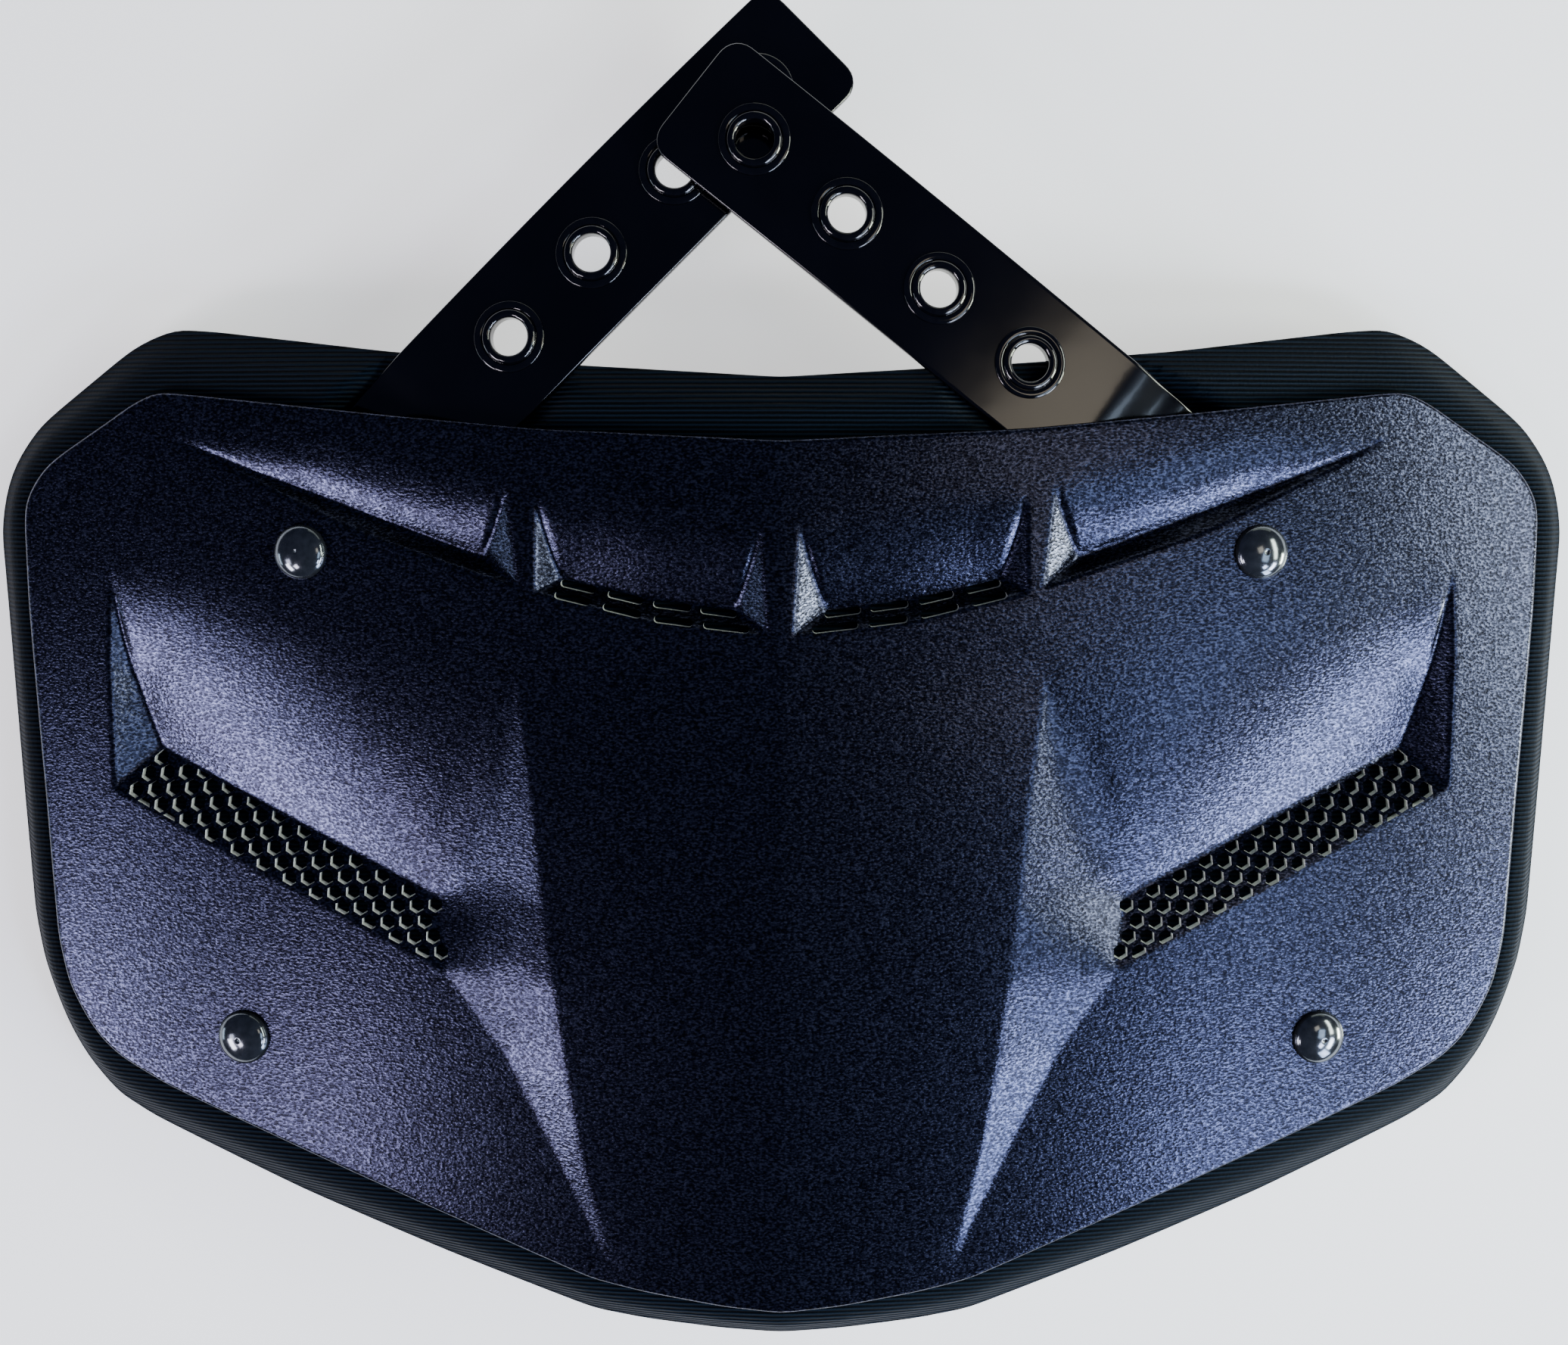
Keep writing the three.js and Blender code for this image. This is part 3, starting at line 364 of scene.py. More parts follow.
def arch_height(x):
    """Height of the pad's hollow back over the surface: a power curve across, nothing at the feet."""
    reach = np.clip(np.abs(x) / (HALF_PAD - FOOT_WIDTH), 0, 1)
    return ARCH_HEIGHT * (1 - reach**ARCH_POWER)


# Loops


def smooth_loop(points, spacing, softness):
    """Resamples a closed loop at an even spacing and averages it along its length, so that straight
    stretches stay straight and corners turn round. Columns past the second follow along."""
    closed = np.vstack([points, points[:1]])
    steps = np.hypot(*np.diff(closed[:, :2], axis=0).T)
    along = np.concatenate([[0], np.cumsum(steps)])
    count = 2 * int(round(along[-1] / spacing / 2))
    at = np.arange(count) * along[-1] / count
    even = np.stack([np.interp(at, along, column) for column in closed.T], axis=1)
    reach = int(math.ceil(3 * softness / spacing))
    weights = np.exp(-0.5 * (np.arange(-reach, reach + 1) * spacing / softness) ** 2)
    weights /= weights.sum()
    return sum(w * np.roll(even, k, axis=0) for k, w in zip(range(-reach, reach + 1), weights))


def inset_loop(loop, distance):
    """The loop moved inward along its normals; the loop runs clockwise seen from above."""
    tangent = np.roll(loop, -1, axis=0) - np.roll(loop, 1, axis=0)
    tangent /= np.linalg.norm(tangent, axis=1, keepdims=True)
    inward = np.stack([tangent[:, 1], -tangent[:, 0]], axis=1)
    return loop + distance * inward


def rim_loops():
    """Outlines of shell and pad with matching points, clockwise from the top centre."""
    half = np.array(OUTLINE)
    right = half * [HALF_PLATE, PLATE_HEIGHT, HALF_PAD, PAD_HEIGHT]
    left = right[-2:0:-1] * [-1, 1, -1, 1]
    both = smooth_loop(np.vstack([right, left]), RIM_SPACING, RIM_SOFTNESS)
    shell, pad = both[:, :2], both[:, 2:] - [0, PAD_BELOW_TIP]
    stretch = [HALF_PLATE / shell[:, 0].max(), PLATE_HEIGHT / np.ptp(shell[:, 1])]
    shell = shell * stretch
    shell[:, 1] -= shell[:, 1].min()
    pad = pad * [HALF_PAD / pad[:, 0].max(), 1]
    return shell, pad


def polyline_points(corners, spacing):
    """Evenly spaced points along a run of corners, with the direction of each."""
    corners = np.array(corners)
    steps = np.hypot(*np.diff(corners, axis=0).T)
    along = np.concatenate([[0], np.cumsum(steps)])
    at = np.linspace(0, along[-1], max(2, int(round(along[-1] / spacing)) + 1))
    points = np.stack([np.interp(at, along, column) for column in corners.T], axis=1)
    segment = np.clip(np.searchsorted(along, at, side="right") - 1, 0, len(steps) - 1)
    return points, (np.diff(corners, axis=0) / steps[:, None])[segment]


def crease_points():
    """Rows of points along each crease and beside it, close enough to carry its rounding."""
    rows = []
    for line in CREASES:
        points, ahead = polyline_points([corner_xy(name) for name in line], CREASE_SPACING)
        aside = np.stack([-ahead[:, 1], ahead[:, 0]], axis=1)
        for offset in CREASE_OFFSETS:
            rows.append(points + offset * aside)
    return np.vstack(rows)


def thin_out(points, cell):
    """Keeps the first point of each small square cell."""
    _, first = np.unique(np.round(points / cell).astype(int), axis=0, return_index=True)
    return points[np.sort(first)]


def away_from(points, others, distance):
    """Keeps the points whose surroundings hold none of the other points, judged on square cells."""
    low = np.minimum(points.min(axis=0), others.min(axis=0)) - 2 * distance
    size = np.ceil((np.maximum(points.max(axis=0), others.max(axis=0)) - low) / distance).astype(int) + 3
    taken = np.zeros(size, dtype=bool)
    cells = ((others - low) / distance).astype(int)
    for dx in (-1, 0, 1):
        for dy in (-1, 0, 1):
            taken[cells[:, 0] + dx, cells[:, 1] + dy] = True
    spots = ((points - low) / distance).astype(int)
    return points[~taken[spots[:, 0], spots[:, 1]]]


def inside_loop(points, loop):
    """True for points inside a closed loop, by counting crossings."""
    inside = np.zeros(len(points), dtype=bool)
    for (x0, y0), (x1, y1) in zip(loop, np.roll(loop, -1, axis=0)):
        if y0 == y1:
            continue
        crosses = (points[:, 1] > y0) != (points[:, 1] > y1)
        inside ^= crosses & (points[:, 0] < x0 + (points[:, 1] - y0) * (x1 - x0) / (y1 - y0))
    return inside


def grid_points(low, high, spacing):
    """A triangular grid of points over a rectangle."""
    xs = np.arange(low[0], high[0], spacing)
    ys = np.arange(low[1], high[1], spacing * 0.866)
    x, y = np.meshgrid(xs, ys)
    x[1::2] += spacing / 2
    return np.stack([x.ravel(), y.ravel()], axis=1)


# Holes of the shell


def clip_polygon(points, start, end):
    """Cuts a polygon by the line from start to end and keeps what lies to its left."""
    ahead = end - start
    side = ahead[0] * (points[:, 1] - start[1]) - ahead[1] * (points[:, 0] - start[0])
    kept = []
    for i, here in enumerate(points):
        j = (i + 1) % len(points)
        if side[i] >= 0:
            kept.append(here)
        if (side[i] >= 0) != (side[j] >= 0):
            kept.append(here + (points[j] - here) * side[i] / (side[i] - side[j]))
    return np.array(kept)


def polygon_area(points):
    x, y = points.T
    return abs(np.dot(x, np.roll(y, -1)) - np.dot(y, np.roll(x, -1))) / 2


def honeycomb():
    """Cells of the honeycomb on the right cheek's lower wall: a lattice of six-sided cells, with
    those on the wall's long edges cut off along them."""
    wall = [corner_xy(n) for n in ("cheek_deep_corner", "cheek_deep_inner", "cheek_rim_inner", "cheek_rim_corner")]
    tilt = math.radians(HEX_ROW_TILT)
    step = HEX_PITCH * np.array([-math.cos(tilt), math.sin(tilt)])
    row_step = np.array([HEX_ROW_SHIFT, -HEX_ROW_STEP])
    start = wall[0] + [0, -HEX_START_DROP]
    turns = math.pi / 6 + np.arange(6) * math.pi / 3
    cell = HEX_RADIUS * np.stack([np.cos(turns), np.sin(turns)], axis=1)
    cells = []
    for row in HEX_ROWS:
        for column in HEX_COLUMNS:
            polygon = cell + start + row * row_step + (column + (row % 2) / 2) * step
            centre = polygon.mean(axis=0)
            for i in (0, 2, 3):
                shift = wall[(i + 1) % 4] - wall[i]
                inward = np.array([-shift[1], shift[0]]) / np.linalg.norm(shift) * HEX_WALL_MARGIN
                if len(polygon) >= 3:
                    polygon = clip_polygon(polygon, wall[i] + inward, wall[(i + 1) % 4] + inward)
            ahead = wall[2] - wall[1]
            beyond = ahead[0] * (centre[1] - wall[1][1]) - ahead[1] * (centre[0] - wall[1][0])
            if len(polygon) >= 3 and beyond >= 0 and polygon_area(polygon) > HEX_LEAST_SHARE * polygon_area(cell):
                cells.append(thin_out(polygon, 0.12))
    return cells


def vent_point(row, share):
    """Point on a vent's wall: row from the rim down, share along it from the keel outward."""
    at = []
    deep = ("vent_deep_inner", "vent_deep_middle", "vent_deep_outer")
    for names in (("ridge_foot", "vent_rim", "vent_foot"), deep):
        corners = np.array([corner_xy(name) for name in names])
        at.append(np.array([np.interp(share * 2, range(3), column) for column in corners.T]))
    return at[0] + row * (at[1] - at[0])


def slot_loops():
    """Slots of the right vent: straight sides between half circles."""
    loops = []
    for row, start, end in SLOTS:
        a, b = vent_point(row, start), vent_point(row, end)
        ahead = (b - a) / np.linalg.norm(b - a)
        turn = math.atan2(ahead[1], ahead[0])
        radius = SLOT_HEIGHT / 2
        turns = np.linspace(-math.pi / 2, math.pi / 2, 7)
        cap = radius * np.stack([np.cos(turn + turns), np.sin(turn + turns)], axis=1)
        loops.append(np.vstack([b - radius * ahead + cap, a + radius * ahead - cap]))
    return loops


def circle_loop(centre, radius, count):
    turns = np.arange(count) * 2 * math.pi / count
    return np.array(centre) + radius * np.stack([np.cos(turns), np.sin(turns)], axis=1)


# Meshes


def place(points):
    """Millimetres over the shell's tip to metres in the frame."""
    return (np.asarray(points) + [0, TIP_Y, 0]) * MM


def add_mesh(name, points, faces, slots=None, materials=(), smooth=True, sharp=None):
    """Makes an object of points in millimetres and faces, each with its material's number."""
    mesh = bpy.data.meshes.new(name)
    mesh.from_pydata(place(points).tolist(), [], [list(map(int, face)) for face in faces])
    for material in materials:
        mesh.materials.append(material)
    if slots is not None:
        mesh.polygons.foreach_set("material_index", np.asarray(slots, dtype=np.int32))
    mesh.polygons.foreach_set("use_smooth", np.full(len(mesh.polygons), smooth))
    mesh.update()
    if sharp is not None:
        mesh.set_sharp_from_angle(angle=math.radians(sharp))
    mesh.validate()
    piece = bpy.data.objects.new(name, mesh)
    bpy.context.scene.collection.objects.link(piece)
    return piece


def slab(outline, insets, holes, inner):
    """Plan of a sheet with holes: its outline and copies moved inward, the holes' edges and the
    inner points, joined by triangles. Gives the plan, each point's inset, the triangles (seen from
    above they run anticlockwise) and the edge loops."""
    rings = [inset_loop(outline, inset) for inset in insets]
    parts = rings + list(holes) + [inner]
    plan = np.vstack(parts)
    starts = np.cumsum([0] + [len(part) for part in parts])
    inset = np.full(len(plan), np.inf)
    loop_of = np.full(len(plan), -1)
    loops = [np.arange(starts[0], starts[1])]
    for i, value in enumerate(insets):
        inset[starts[i]:starts[i + 1]] = value
    loop_of[: starts[1]] = 0
    for i in range(len(rings), len(rings) + len(holes)):
        loop_of[starts[i]:starts[i + 1]] = i
        loops.append(np.arange(starts[i], starts[i + 1]))
    edges = [(int(a), int(b)) for loop in loops for a, b in zip(loop, np.roll(loop, -1))]
    out = delaunay_2d_cdt([Vector(p) for p in plan], edges, [], 0, 1e-6)
    back = np.array([origin[0] if origin else -1 for origin in out[3]])
    faces = back[np.array([face for face in out[2] if len(face) == 3])]
    faces = faces[(faces >= 0).all(axis=1)]
    rim = loop_of[faces]
    outside = (rim[:, 0] >= 0) & (rim[:, 0] == rim[:, 1]) & (rim[:, 1] == rim[:, 2])
    faces = faces[~outside]
    a, b, c = (plan[faces[:, i]] for i in range(3))
    turn = (b[:, 0] - a[:, 0]) * (c[:, 1] - a[:, 1]) - (c[:, 0] - a[:, 0]) * (b[:, 1] - a[:, 1])
    faces[turn < 0] = faces[turn < 0][:, ::-1]
    return plan, inset, faces[np.abs(turn) > 1e-9], loops


def slab_mesh(name, sheet, top, bottom, materials, sharp=35):
    """Closes a sheet's top and bottom points with walls along its loops; walls of holes take
    the second material."""
    plan, _, faces, loops = sheet
    count = len(plan)
    walls, wall_slots = [], []
    for i, loop in enumerate(loops):
        x, y = plan[loop].T
        area = np.dot(x, np.roll(y, -1)) - np.dot(y, np.roll(x, -1))
        here, there = loop, np.roll(loop, -1)
        if (area > 0) == (i > 0):
            here, there = there, here
        walls.append(np.stack([here, here + count, there + count, there], axis=1))
        wall_slots.append(np.full(len(loop), 1 if i > 0 else 0))
    slots = np.concatenate([np.zeros(2 * len(faces), dtype=int), *wall_slots])
    every = [*faces, *(faces[:, ::-1] + count), *np.vstack(walls)]
    return add_mesh(name, np.vstack([top, bottom]), every, slots, materials, sharp=sharp)


def edge_drop(inset, radius):
    """How far a rounded edge lies below its face: a quarter circle over the inset."""
    reach = np.clip(1 - inset / radius, 0, 1)
    return radius * (1 - np.sqrt(1 - reach**2))


def turned(name, profile, sides, centre, axis, materials):
    """A body of revolution: a closed profile of radius and height carried round the axis."""
    profile = np.array(profile, dtype=float)
    turns = np.arange(sides) * 2 * math.pi / sides
    axis = np.array(axis) / np.linalg.norm(axis)
    first = np.cross([0, 1, 0], axis)
    first /= np.linalg.norm(first)
    second = np.cross(axis, first)
    round_about = np.cos(turns)[:, None, None] * first + np.sin(turns)[:, None, None] * second
    points = np.array(centre) + profile[None, :, :1] * round_about + profile[None, :, 1:] * axis
    rows, columns = np.meshgrid(np.arange(sides), np.arange(len(profile)), indexing="ij")
    ahead, up = (rows + 1) % sides, (columns + 1) % len(profile)
    number = lambda r, c: (r * len(profile) + c).ravel()
    faces = np.stack([number(rows, columns), number(ahead, columns), number(ahead, up), number(rows, up)], axis=1)
    return add_mesh(name, points.reshape(-1, 3), faces, None, materials)


# Straps


def strap_frame(side):
    """A strap's rivet, the direction it runs in, and the direction across it."""
    strap = STRAPS[side]
    turn = math.radians(strap["angle"])
    ahead = np.array([strap["hand"] * math.cos(turn), math.sin(turn)])
    aside = np.array([-ahead[1], ahead[0]])
    across, up = RIVETS["upper"]
    start = np.array([-strap["hand"] * across * HALF_PLATE, up * PLATE_HEIGHT])
    return start, ahead, aside


def strap_edge_height(side, along, x, y):
    """Height of a strap's middle at a point: below the shell's plain underside, sunk under the
    brow, and past the pad's edge drooping with the square of the way."""
    free = np.clip((along - DROOP_START) / (STRAP_REACH - DROOP_START), 0, None)
    share = np.clip(along / STRAP_REACH, STRAP_LIE_ALONG[0], STRAP_LIE_ALONG[-1])
    row = np.clip(np.searchsorted(STRAP_LIE_ALONG, share, side="right") - 1, 0, len(STRAP_LIE_ALONG) - 2)
    lie_along, lie_sunk = np.array(STRAP_LIE_ALONG), np.array(STRAP_LIE_SUNK)
    t = (share - lie_along[row]) / (lie_along[row + 1] - lie_along[row])
    sunk = lie_sunk[row] + (lie_sunk[row + 1] - lie_sunk[row]) * t * t * (3 - 2 * t)
    plain = plain_height(x, y, STRAP_KEEL_ROUNDING)
    below = PLATE_THICKNESS + FIT_GAP + STRAP_THICKNESS / 2
    return plain - below - sunk * BROW_DEPTH - STRAPS[side]["droop"] * free**2


def strap_middle(side, along, aside_by):
    """Points of a strap's middle surface: straight from edge to edge at each place along it."""
    start, ahead, aside = strap_frame(side)
    along, aside_by = np.broadcast_arrays(np.asarray(along, float), np.asarray(aside_by, float))
    half = STRAP_WIDTH / 2
    xy = start + along[..., None] * ahead + aside_by[..., None] * aside
    ends = []
    for sign in (-1, 1):
        edge = start + along[..., None] * ahead + sign * half * aside
        ends.append(strap_edge_height(side, along, edge[..., 0], edge[..., 1]))
    share = (aside_by + half) / (2 * half)
    return np.concatenate([xy, (ends[0] + share * (ends[1] - ends[0]))[..., None]], axis=-1)


def strap_normal(side, along, aside_by):
    ahead = strap_middle(side, along + 1, aside_by) - strap_middle(side, along - 1, aside_by)
    across = strap_middle(side, along, aside_by + 1) - strap_middle(side, along, aside_by - 1)
    normal = np.cross(ahead, across)
    return normal / np.linalg.norm(normal, axis=-1, keepdims=True)


def eyelet_distances():
    return FIRST_EYELET + EYELET_PITCH * np.arange(EYELET_COUNT)


def make_strap(side, materials):
    """A strap: a plan of length and width with rounded corners and holes, laid on its path."""
    half, corner = STRAP_WIDTH / 2, STRAP_CORNER
    turns = np.linspace(0, math.pi / 2, 7)
    corners = []
    for x, y, start in ((STRAP_REACH, half, math.pi / 2), (STRAP_REACH, -half, 0),
                        (-STRAP_TAIL, -half, -math.pi / 2), (-STRAP_TAIL, half, math.pi)):
        centre = np.array([x - math.copysign(corner, x), y - math.copysign(corner, y)])
        corners.append(centre + corner * np.stack([np.cos(start - turns), np.sin(start - turns)], axis=1))
    outline = smooth_loop(np.vstack(corners), 1.2, 0.5)
    holes = [circle_loop((at, 0), EYELET_BORE + 0.5, 32) for at in eyelet_distances()]
    inner = grid_points((-STRAP_TAIL, -half), (STRAP_REACH, half), STRAP_SPACING)
    inner = inner[inside_loop(inner, inset_loop(outline, 1.6))]
    for hole in holes:
        inner = away_from(inner, hole, 0.7)
        inner = inner[~inside_loop(inner, hole)]
    sheet = slab(outline, STRAP_INSETS, holes, inner)
    plan, inset = sheet[0], sheet[1]
    middle = strap_middle(side, plan[:, 0], plan[:, 1])
    normal = strap_normal(side, plan[:, 0], plan[:, 1])
    half_thick = STRAP_THICKNESS / 2 - edge_drop(inset, STRAP_EDGE_RADIUS)
    return slab_mesh(
        f"vinyl_strap_{side}", sheet, middle + half_thick[:, None] * normal, middle - half_thick[:, None] * normal,
        materials, sharp=50,
    )


def make_eyelet(side, number, materials):
    """A rolled eyelet: on each face a low rounded flange and a higher rolled lip round the hole,
    with a groove between them, joined by a barrel."""
    at = float(eyelet_distances()[number - 1])
    centre = strap_middle(side, at, 0.0)
    axis = strap_normal(side, np.array(at), np.array(0.0))
    face = STRAP_THICKNESS / 2
    turns = np.linspace(0, math.pi, 11)
    parts = []
    rolls = ((EYELET_GROOVE, EYELET_FLANGE, EYELET_FLANGE_CROWN), (EYELET_BORE, EYELET_GROOVE, EYELET_CROWN))
    for low, high, crown in rolls:
        across = (low + high) / 2 + (high - low) / 2 * np.cos(turns)
        parts.append(np.stack([across, face + EYELET_EDGE + (crown - EYELET_EDGE) * np.sin(turns)], axis=1))
    parts[0][0, 1] = parts[1][-1, 1] = face
    upper = np.vstack([parts[0], parts[1][1:]])
    lower = upper[::-1] * [1, -1]
    barrel = EYELET_BORE + 0.45
    inner = [(EYELET_BORE, face - 0.3), (EYELET_BORE, -face + 0.3)]
    outer = [(EYELET_FLANGE - 0.2, -face), (barrel, -face), (barrel, face), (EYELET_FLANGE - 0.2, face)]
    profile = np.vstack([upper, inner, lower, outer])
    return turned(f"rolled_eyelet_{side}_{number}", profile, 56, centre, axis, materials)


def make_rivet(level, side, materials):
    """A rivet: a low dome over a short rim, a shank and a flat tail, on the shell's normal."""
    hand = -1 if side == "left" else 1
    across, up = RIVETS[level]
    x, y = hand * across * HALF_PLATE, up * PLATE_HEIGHT
    axis = plain_normal(x, y)
    seat = np.array([x, y, plain_height(x, y)])
    grip = (seat[2] - float(arch_height(x))) * axis[2] - RIVET_TAIL_THICKNESS - RIVET_TAIL_RECESS
    turns = np.linspace(0, math.pi / 2, 12)
    dome = np.stack([RIVET_HEAD * np.sin(turns), RIVET_RIM + (RIVET_HEIGHT - RIVET_RIM) * np.cos(turns)], axis=1)
    dome[0, 0] = 0.02
    rest = [(RIVET_HEAD, 0.15), (RIVET_HEAD - 0.15, 0), (RIVET_SHANK, 0), (RIVET_SHANK, -grip),
            (RIVET_TAIL - 0.3, -grip), (RIVET_TAIL, -grip - 0.3), (RIVET_TAIL, -grip - RIVET_TAIL_THICKNESS + 0.3),
            (RIVET_TAIL - 0.3, -grip - RIVET_TAIL_THICKNESS), (0.02, -grip - RIVET_TAIL_THICKNESS)]
    profile = np.vstack([dome, rest])
    return turned(f"domed_rivet_{level}_{side}", profile, 48, seat, axis, materials)


# Shell and pad


def make_shell(rim, materials):
    """The shell: a plan of outline, holes, crease rows and grid, lifted to the crown and relief."""
    right = [*honeycomb(), *slot_loops()]
    holes = right + [loop * [-1, 1] for loop in right]
    creases = thin_out(crease_points(), 0.3)
    creases = np.vstack([creases, creases * [-1, 1]])
    edge = inset_loop(rim, 1.7)
    keel_ups = np.repeat(np.linspace(KEEL_FROM, KEEL_TO, KEEL_COUNT), len(KEEL_LINES))
    keel = np.stack([np.tile(KEEL_LINES, KEEL_COUNT), keel_ups], axis=1)
    creases = np.vstack([keel, away_from(creases, keel, 0.35)])
    hole_points = np.vstack(holes)
    creases = away_from(creases, hole_points, 0.3)
    centres = np.array([hole.mean(axis=0) for hole in holes])
    grid = grid_points((-HALF_PLATE, 0), (HALF_PLATE, PLATE_HEIGHT), SHELL_SPACING)
    grid = away_from(away_from(grid, creases, 1.0), hole_points, 0.7)
    inner = np.vstack([creases, grid])
    inner = inner[inside_loop(inner, edge)]
    for hole, centre in zip(holes, centres):
        near = np.hypot(*(inner - centre).T) < 6
        inner = inner[~(near & inside_loop(inner, hole))]
    sheet = slab(rim, SHELL_INSETS, holes, inner)
    plan, inset = sheet[0], sheet[1]
    top = plain_height(plan[:, 0], plan[:, 1]) + smooth_rise(plan[:, 0], plan[:, 1])
    upper = np.column_stack([plan, top - edge_drop(inset, EDGE_RADIUS)])
    lower = np.column_stack([plan, top - PLATE_THICKNESS + edge_drop(inset, UNDER_EDGE_RADIUS)])
    return slab_mesh("painted_shell", sheet, upper, lower, materials)


# Rings of the pad's border: share of the way out from the shell's edge, and share of the way down
# to the lip, past 1 for the lip's own thickness.
BORDER_OUT = np.array([0.0, 0.08, 0.2, 0.34, 0.46, 0.56, 0.66, 0.78, 0.9, 0.955, 0.985, 1.0, 1.0, 0.99])
BORDER_DOWN = np.array([0.0, -0.02, 0.0, 0.05, 0.13, 0.24, 0.4, 0.61, 0.83, 0.91, 0.94, 1.0, 1.1, 1.18])


def pressed_by_straps(x, y, z):
    """The pad's face pushed down where a strap lies on it, with sloping sides to the groove."""
    for side in STRAPS:
        start, ahead, aside = strap_frame(side)
        along = (x - start[0]) * ahead[0] + (y - start[1]) * ahead[1]
        by = (x - start[0]) * aside[0] + (y - start[1]) * aside[1]
        half = STRAP_WIDTH / 2
        middle = strap_middle(side, np.clip(along, -STRAP_TAIL, STRAP_REACH), np.clip(by, -half, half))[..., 2]
        past = np.maximum(np.abs(by) - half - STRAP_BED_MARGIN, 0) + np.maximum(-STRAP_TAIL - along, 0)
        z = np.minimum(z, middle - STRAP_THICKNESS / 2 - STRAP_BED_GAP + STRAP_BED_SLOPE * past)
    return z


def make_pad(shell_rim, pad_rim, materials):
    """The pad: its face under the shell, a border of rings from the shell's edge over the shoulder
    and slope to the lip, and the arched back, dimpled at the rivets."""
    rings = len(BORDER_OUT)
    out, down = BORDER_OUT[:, None, None], BORDER_DOWN[:, None]
    count = len(shell_rim)
    xy = shell_rim[None] * (1 - out) + pad_rim[None] * out
    front = plain_height(shell_rim[:, 0], shell_rim[:, 1]) - PLATE_THICKNESS - FIT_GAP
    foot = arch_height(pad_rim[:, 0])
    lip = foot + PAD_LIP
    z = front[None] * (1 - down) + lip[None] * down
    z = np.where(down > 1, np.maximum(z, foot[None] + 0.4), z)
    z[-2] = foot + 0.9
    z[-1] = foot
    z = pressed_by_straps(xy[..., 0], xy[..., 1], z)
    z = np.maximum(z, foot[None])
    border = np.concatenate([xy, z[..., None]], axis=-1).reshape(-1, 3)
    ring = np.arange(count)
    nxt = np.roll(ring, -1)
    quads = [np.stack([i * count + ring, i * count + nxt, (i + 1) * count + nxt, (i + 1) * count + ring], axis=1)
             for i in range(rings - 1)]

    def cap(rim, height):
        inner = grid_points(rim.min(axis=0), rim.max(axis=0), PAD_SPACING)
        inner = inner[inside_loop(inner, inset_loop(rim, PAD_SPACING * 0.6))]
        plan, _, faces, _ = slab(rim, (0, 0.4), [], inner)
        return np.column_stack([plan, height(plan[:, 0], plan[:, 1])]), faces

    def face_height(x, y):
        under = plain_height(x, y) + smooth_rise(x, y) - PLATE_THICKNESS - FIT_GAP
        return pressed_by_straps(x, y, under)

    def back_height(x, y):
        dimple = 0
        depth = RIVET_TAIL_RECESS + RIVET_TAIL_THICKNESS + DIMPLE_EXTRA
        for across, up in RIVETS.values():
            for hand in (-1, 1):
                away = np.hypot(x - hand * across * HALF_PLATE, y - up * PLATE_HEIGHT)
                dimple = dimple + depth * np.exp(-((away / DIMPLE_RADIUS) ** 4))
        return arch_height(x) + dimple

    face, face_faces = cap(shell_rim, face_height)
    back, back_faces = cap(border.reshape(rings, count, 3)[-1, :, :2], back_height)
    face_start = len(border)
    back_start = face_start + len(face)

    def welded(faces, start, ring_number):
        return np.where(faces < count, ring_number * count + faces, faces + start)

    back_welded = welded(back_faces, back_start, rings - 1)
    every = [*np.vstack(quads), *welded(face_faces, face_start, 0), *back_welded[:, ::-1]]
    return add_mesh("knit_pad", np.vstack([border, face, back]), every, None, materials, sharp=PAD_SHARP_ANGLE)


# Materials


class Nodes:
    """A material's node tree, with a short way to add and link nodes."""

    def __init__(self, name):
        self.material = bpy.data.materials.new(name)
        self.material.use_nodes = True
        self.tree = self.material.node_tree
        self.shader = self.tree.nodes["Principled BSDF"]

    def add(self, kind, **values):
        node = self.tree.nodes.new(kind)
        for key, value in values.items():
            setattr(node, key, value)
        return node

    def link(self, out, into):
        self.tree.links.new(out, into)

    def object_coordinates(self, scale=(1, 1, 1)):
        coordinates = self.add("ShaderNodeTexCoord")
        mapping = self.add("ShaderNodeMapping")
        mapping.inputs["Scale"].default_value = scale
        self.link(coordinates.outputs["Object"], mapping.inputs["Vector"])
        return mapping.outputs["Vector"]

    def noise(self, vector, scale, detail=2.0):
        node = self.add("ShaderNodeTexNoise")
        node.inputs["Scale"].default_value = scale
        node.inputs["Detail"].default_value = detail
        self.link(vector, node.inputs["Vector"])
        return node.outputs["Fac"]

    def ramp(self, factor, stops):
        node = self.add("ShaderNodeValToRGB")
        elements = node.color_ramp.elements
        while len(elements) < len(stops):
            elements.new(0.5)
        for element, (position, colour) in zip(elements, stops):
            element.position = position
            element.color = (*colour, 1)
        self.link(factor, node.inputs["Fac"])
        return node.outputs["Color"]

    def span(self, factor, low, high):
        node = self.add("ShaderNodeMapRange")
        node.inputs["To Min"].default_value = low
        node.inputs["To Max"].default_value = high
        self.link(factor, node.inputs["Value"])
        return node.outputs["Result"]

    def math(self, operation, a, b):
        node = self.add("ShaderNodeMath", operation=operation)
        for socket, value in zip(node.inputs, (a, b)):
            if isinstance(value, (int, float)):
                socket.default_value = value
            else:
                self.link(value, socket)
        return node.outputs["Value"]

    def bump(self, height, strength, distance):
        node = self.add("ShaderNodeBump")
        node.inputs["Strength"].default_value = strength
        node.inputs["Distance"].default_value = distance
        self.link(height, node.inputs["Height"])
        self.link(node.outputs["Normal"], self.shader.inputs["Normal"])

    def colours(self, factor, stops):
        self.link(self.ramp(factor, stops), self.shader.inputs["Base Color"])

    def roughness(self, factor, low, high):
        self.link(self.span(factor, low, high), self.shader.inputs["Roughness"])

    def set(self, **values):
        for key, value in values.items():
            self.shader.inputs[key.replace("_", " ")].default_value = value


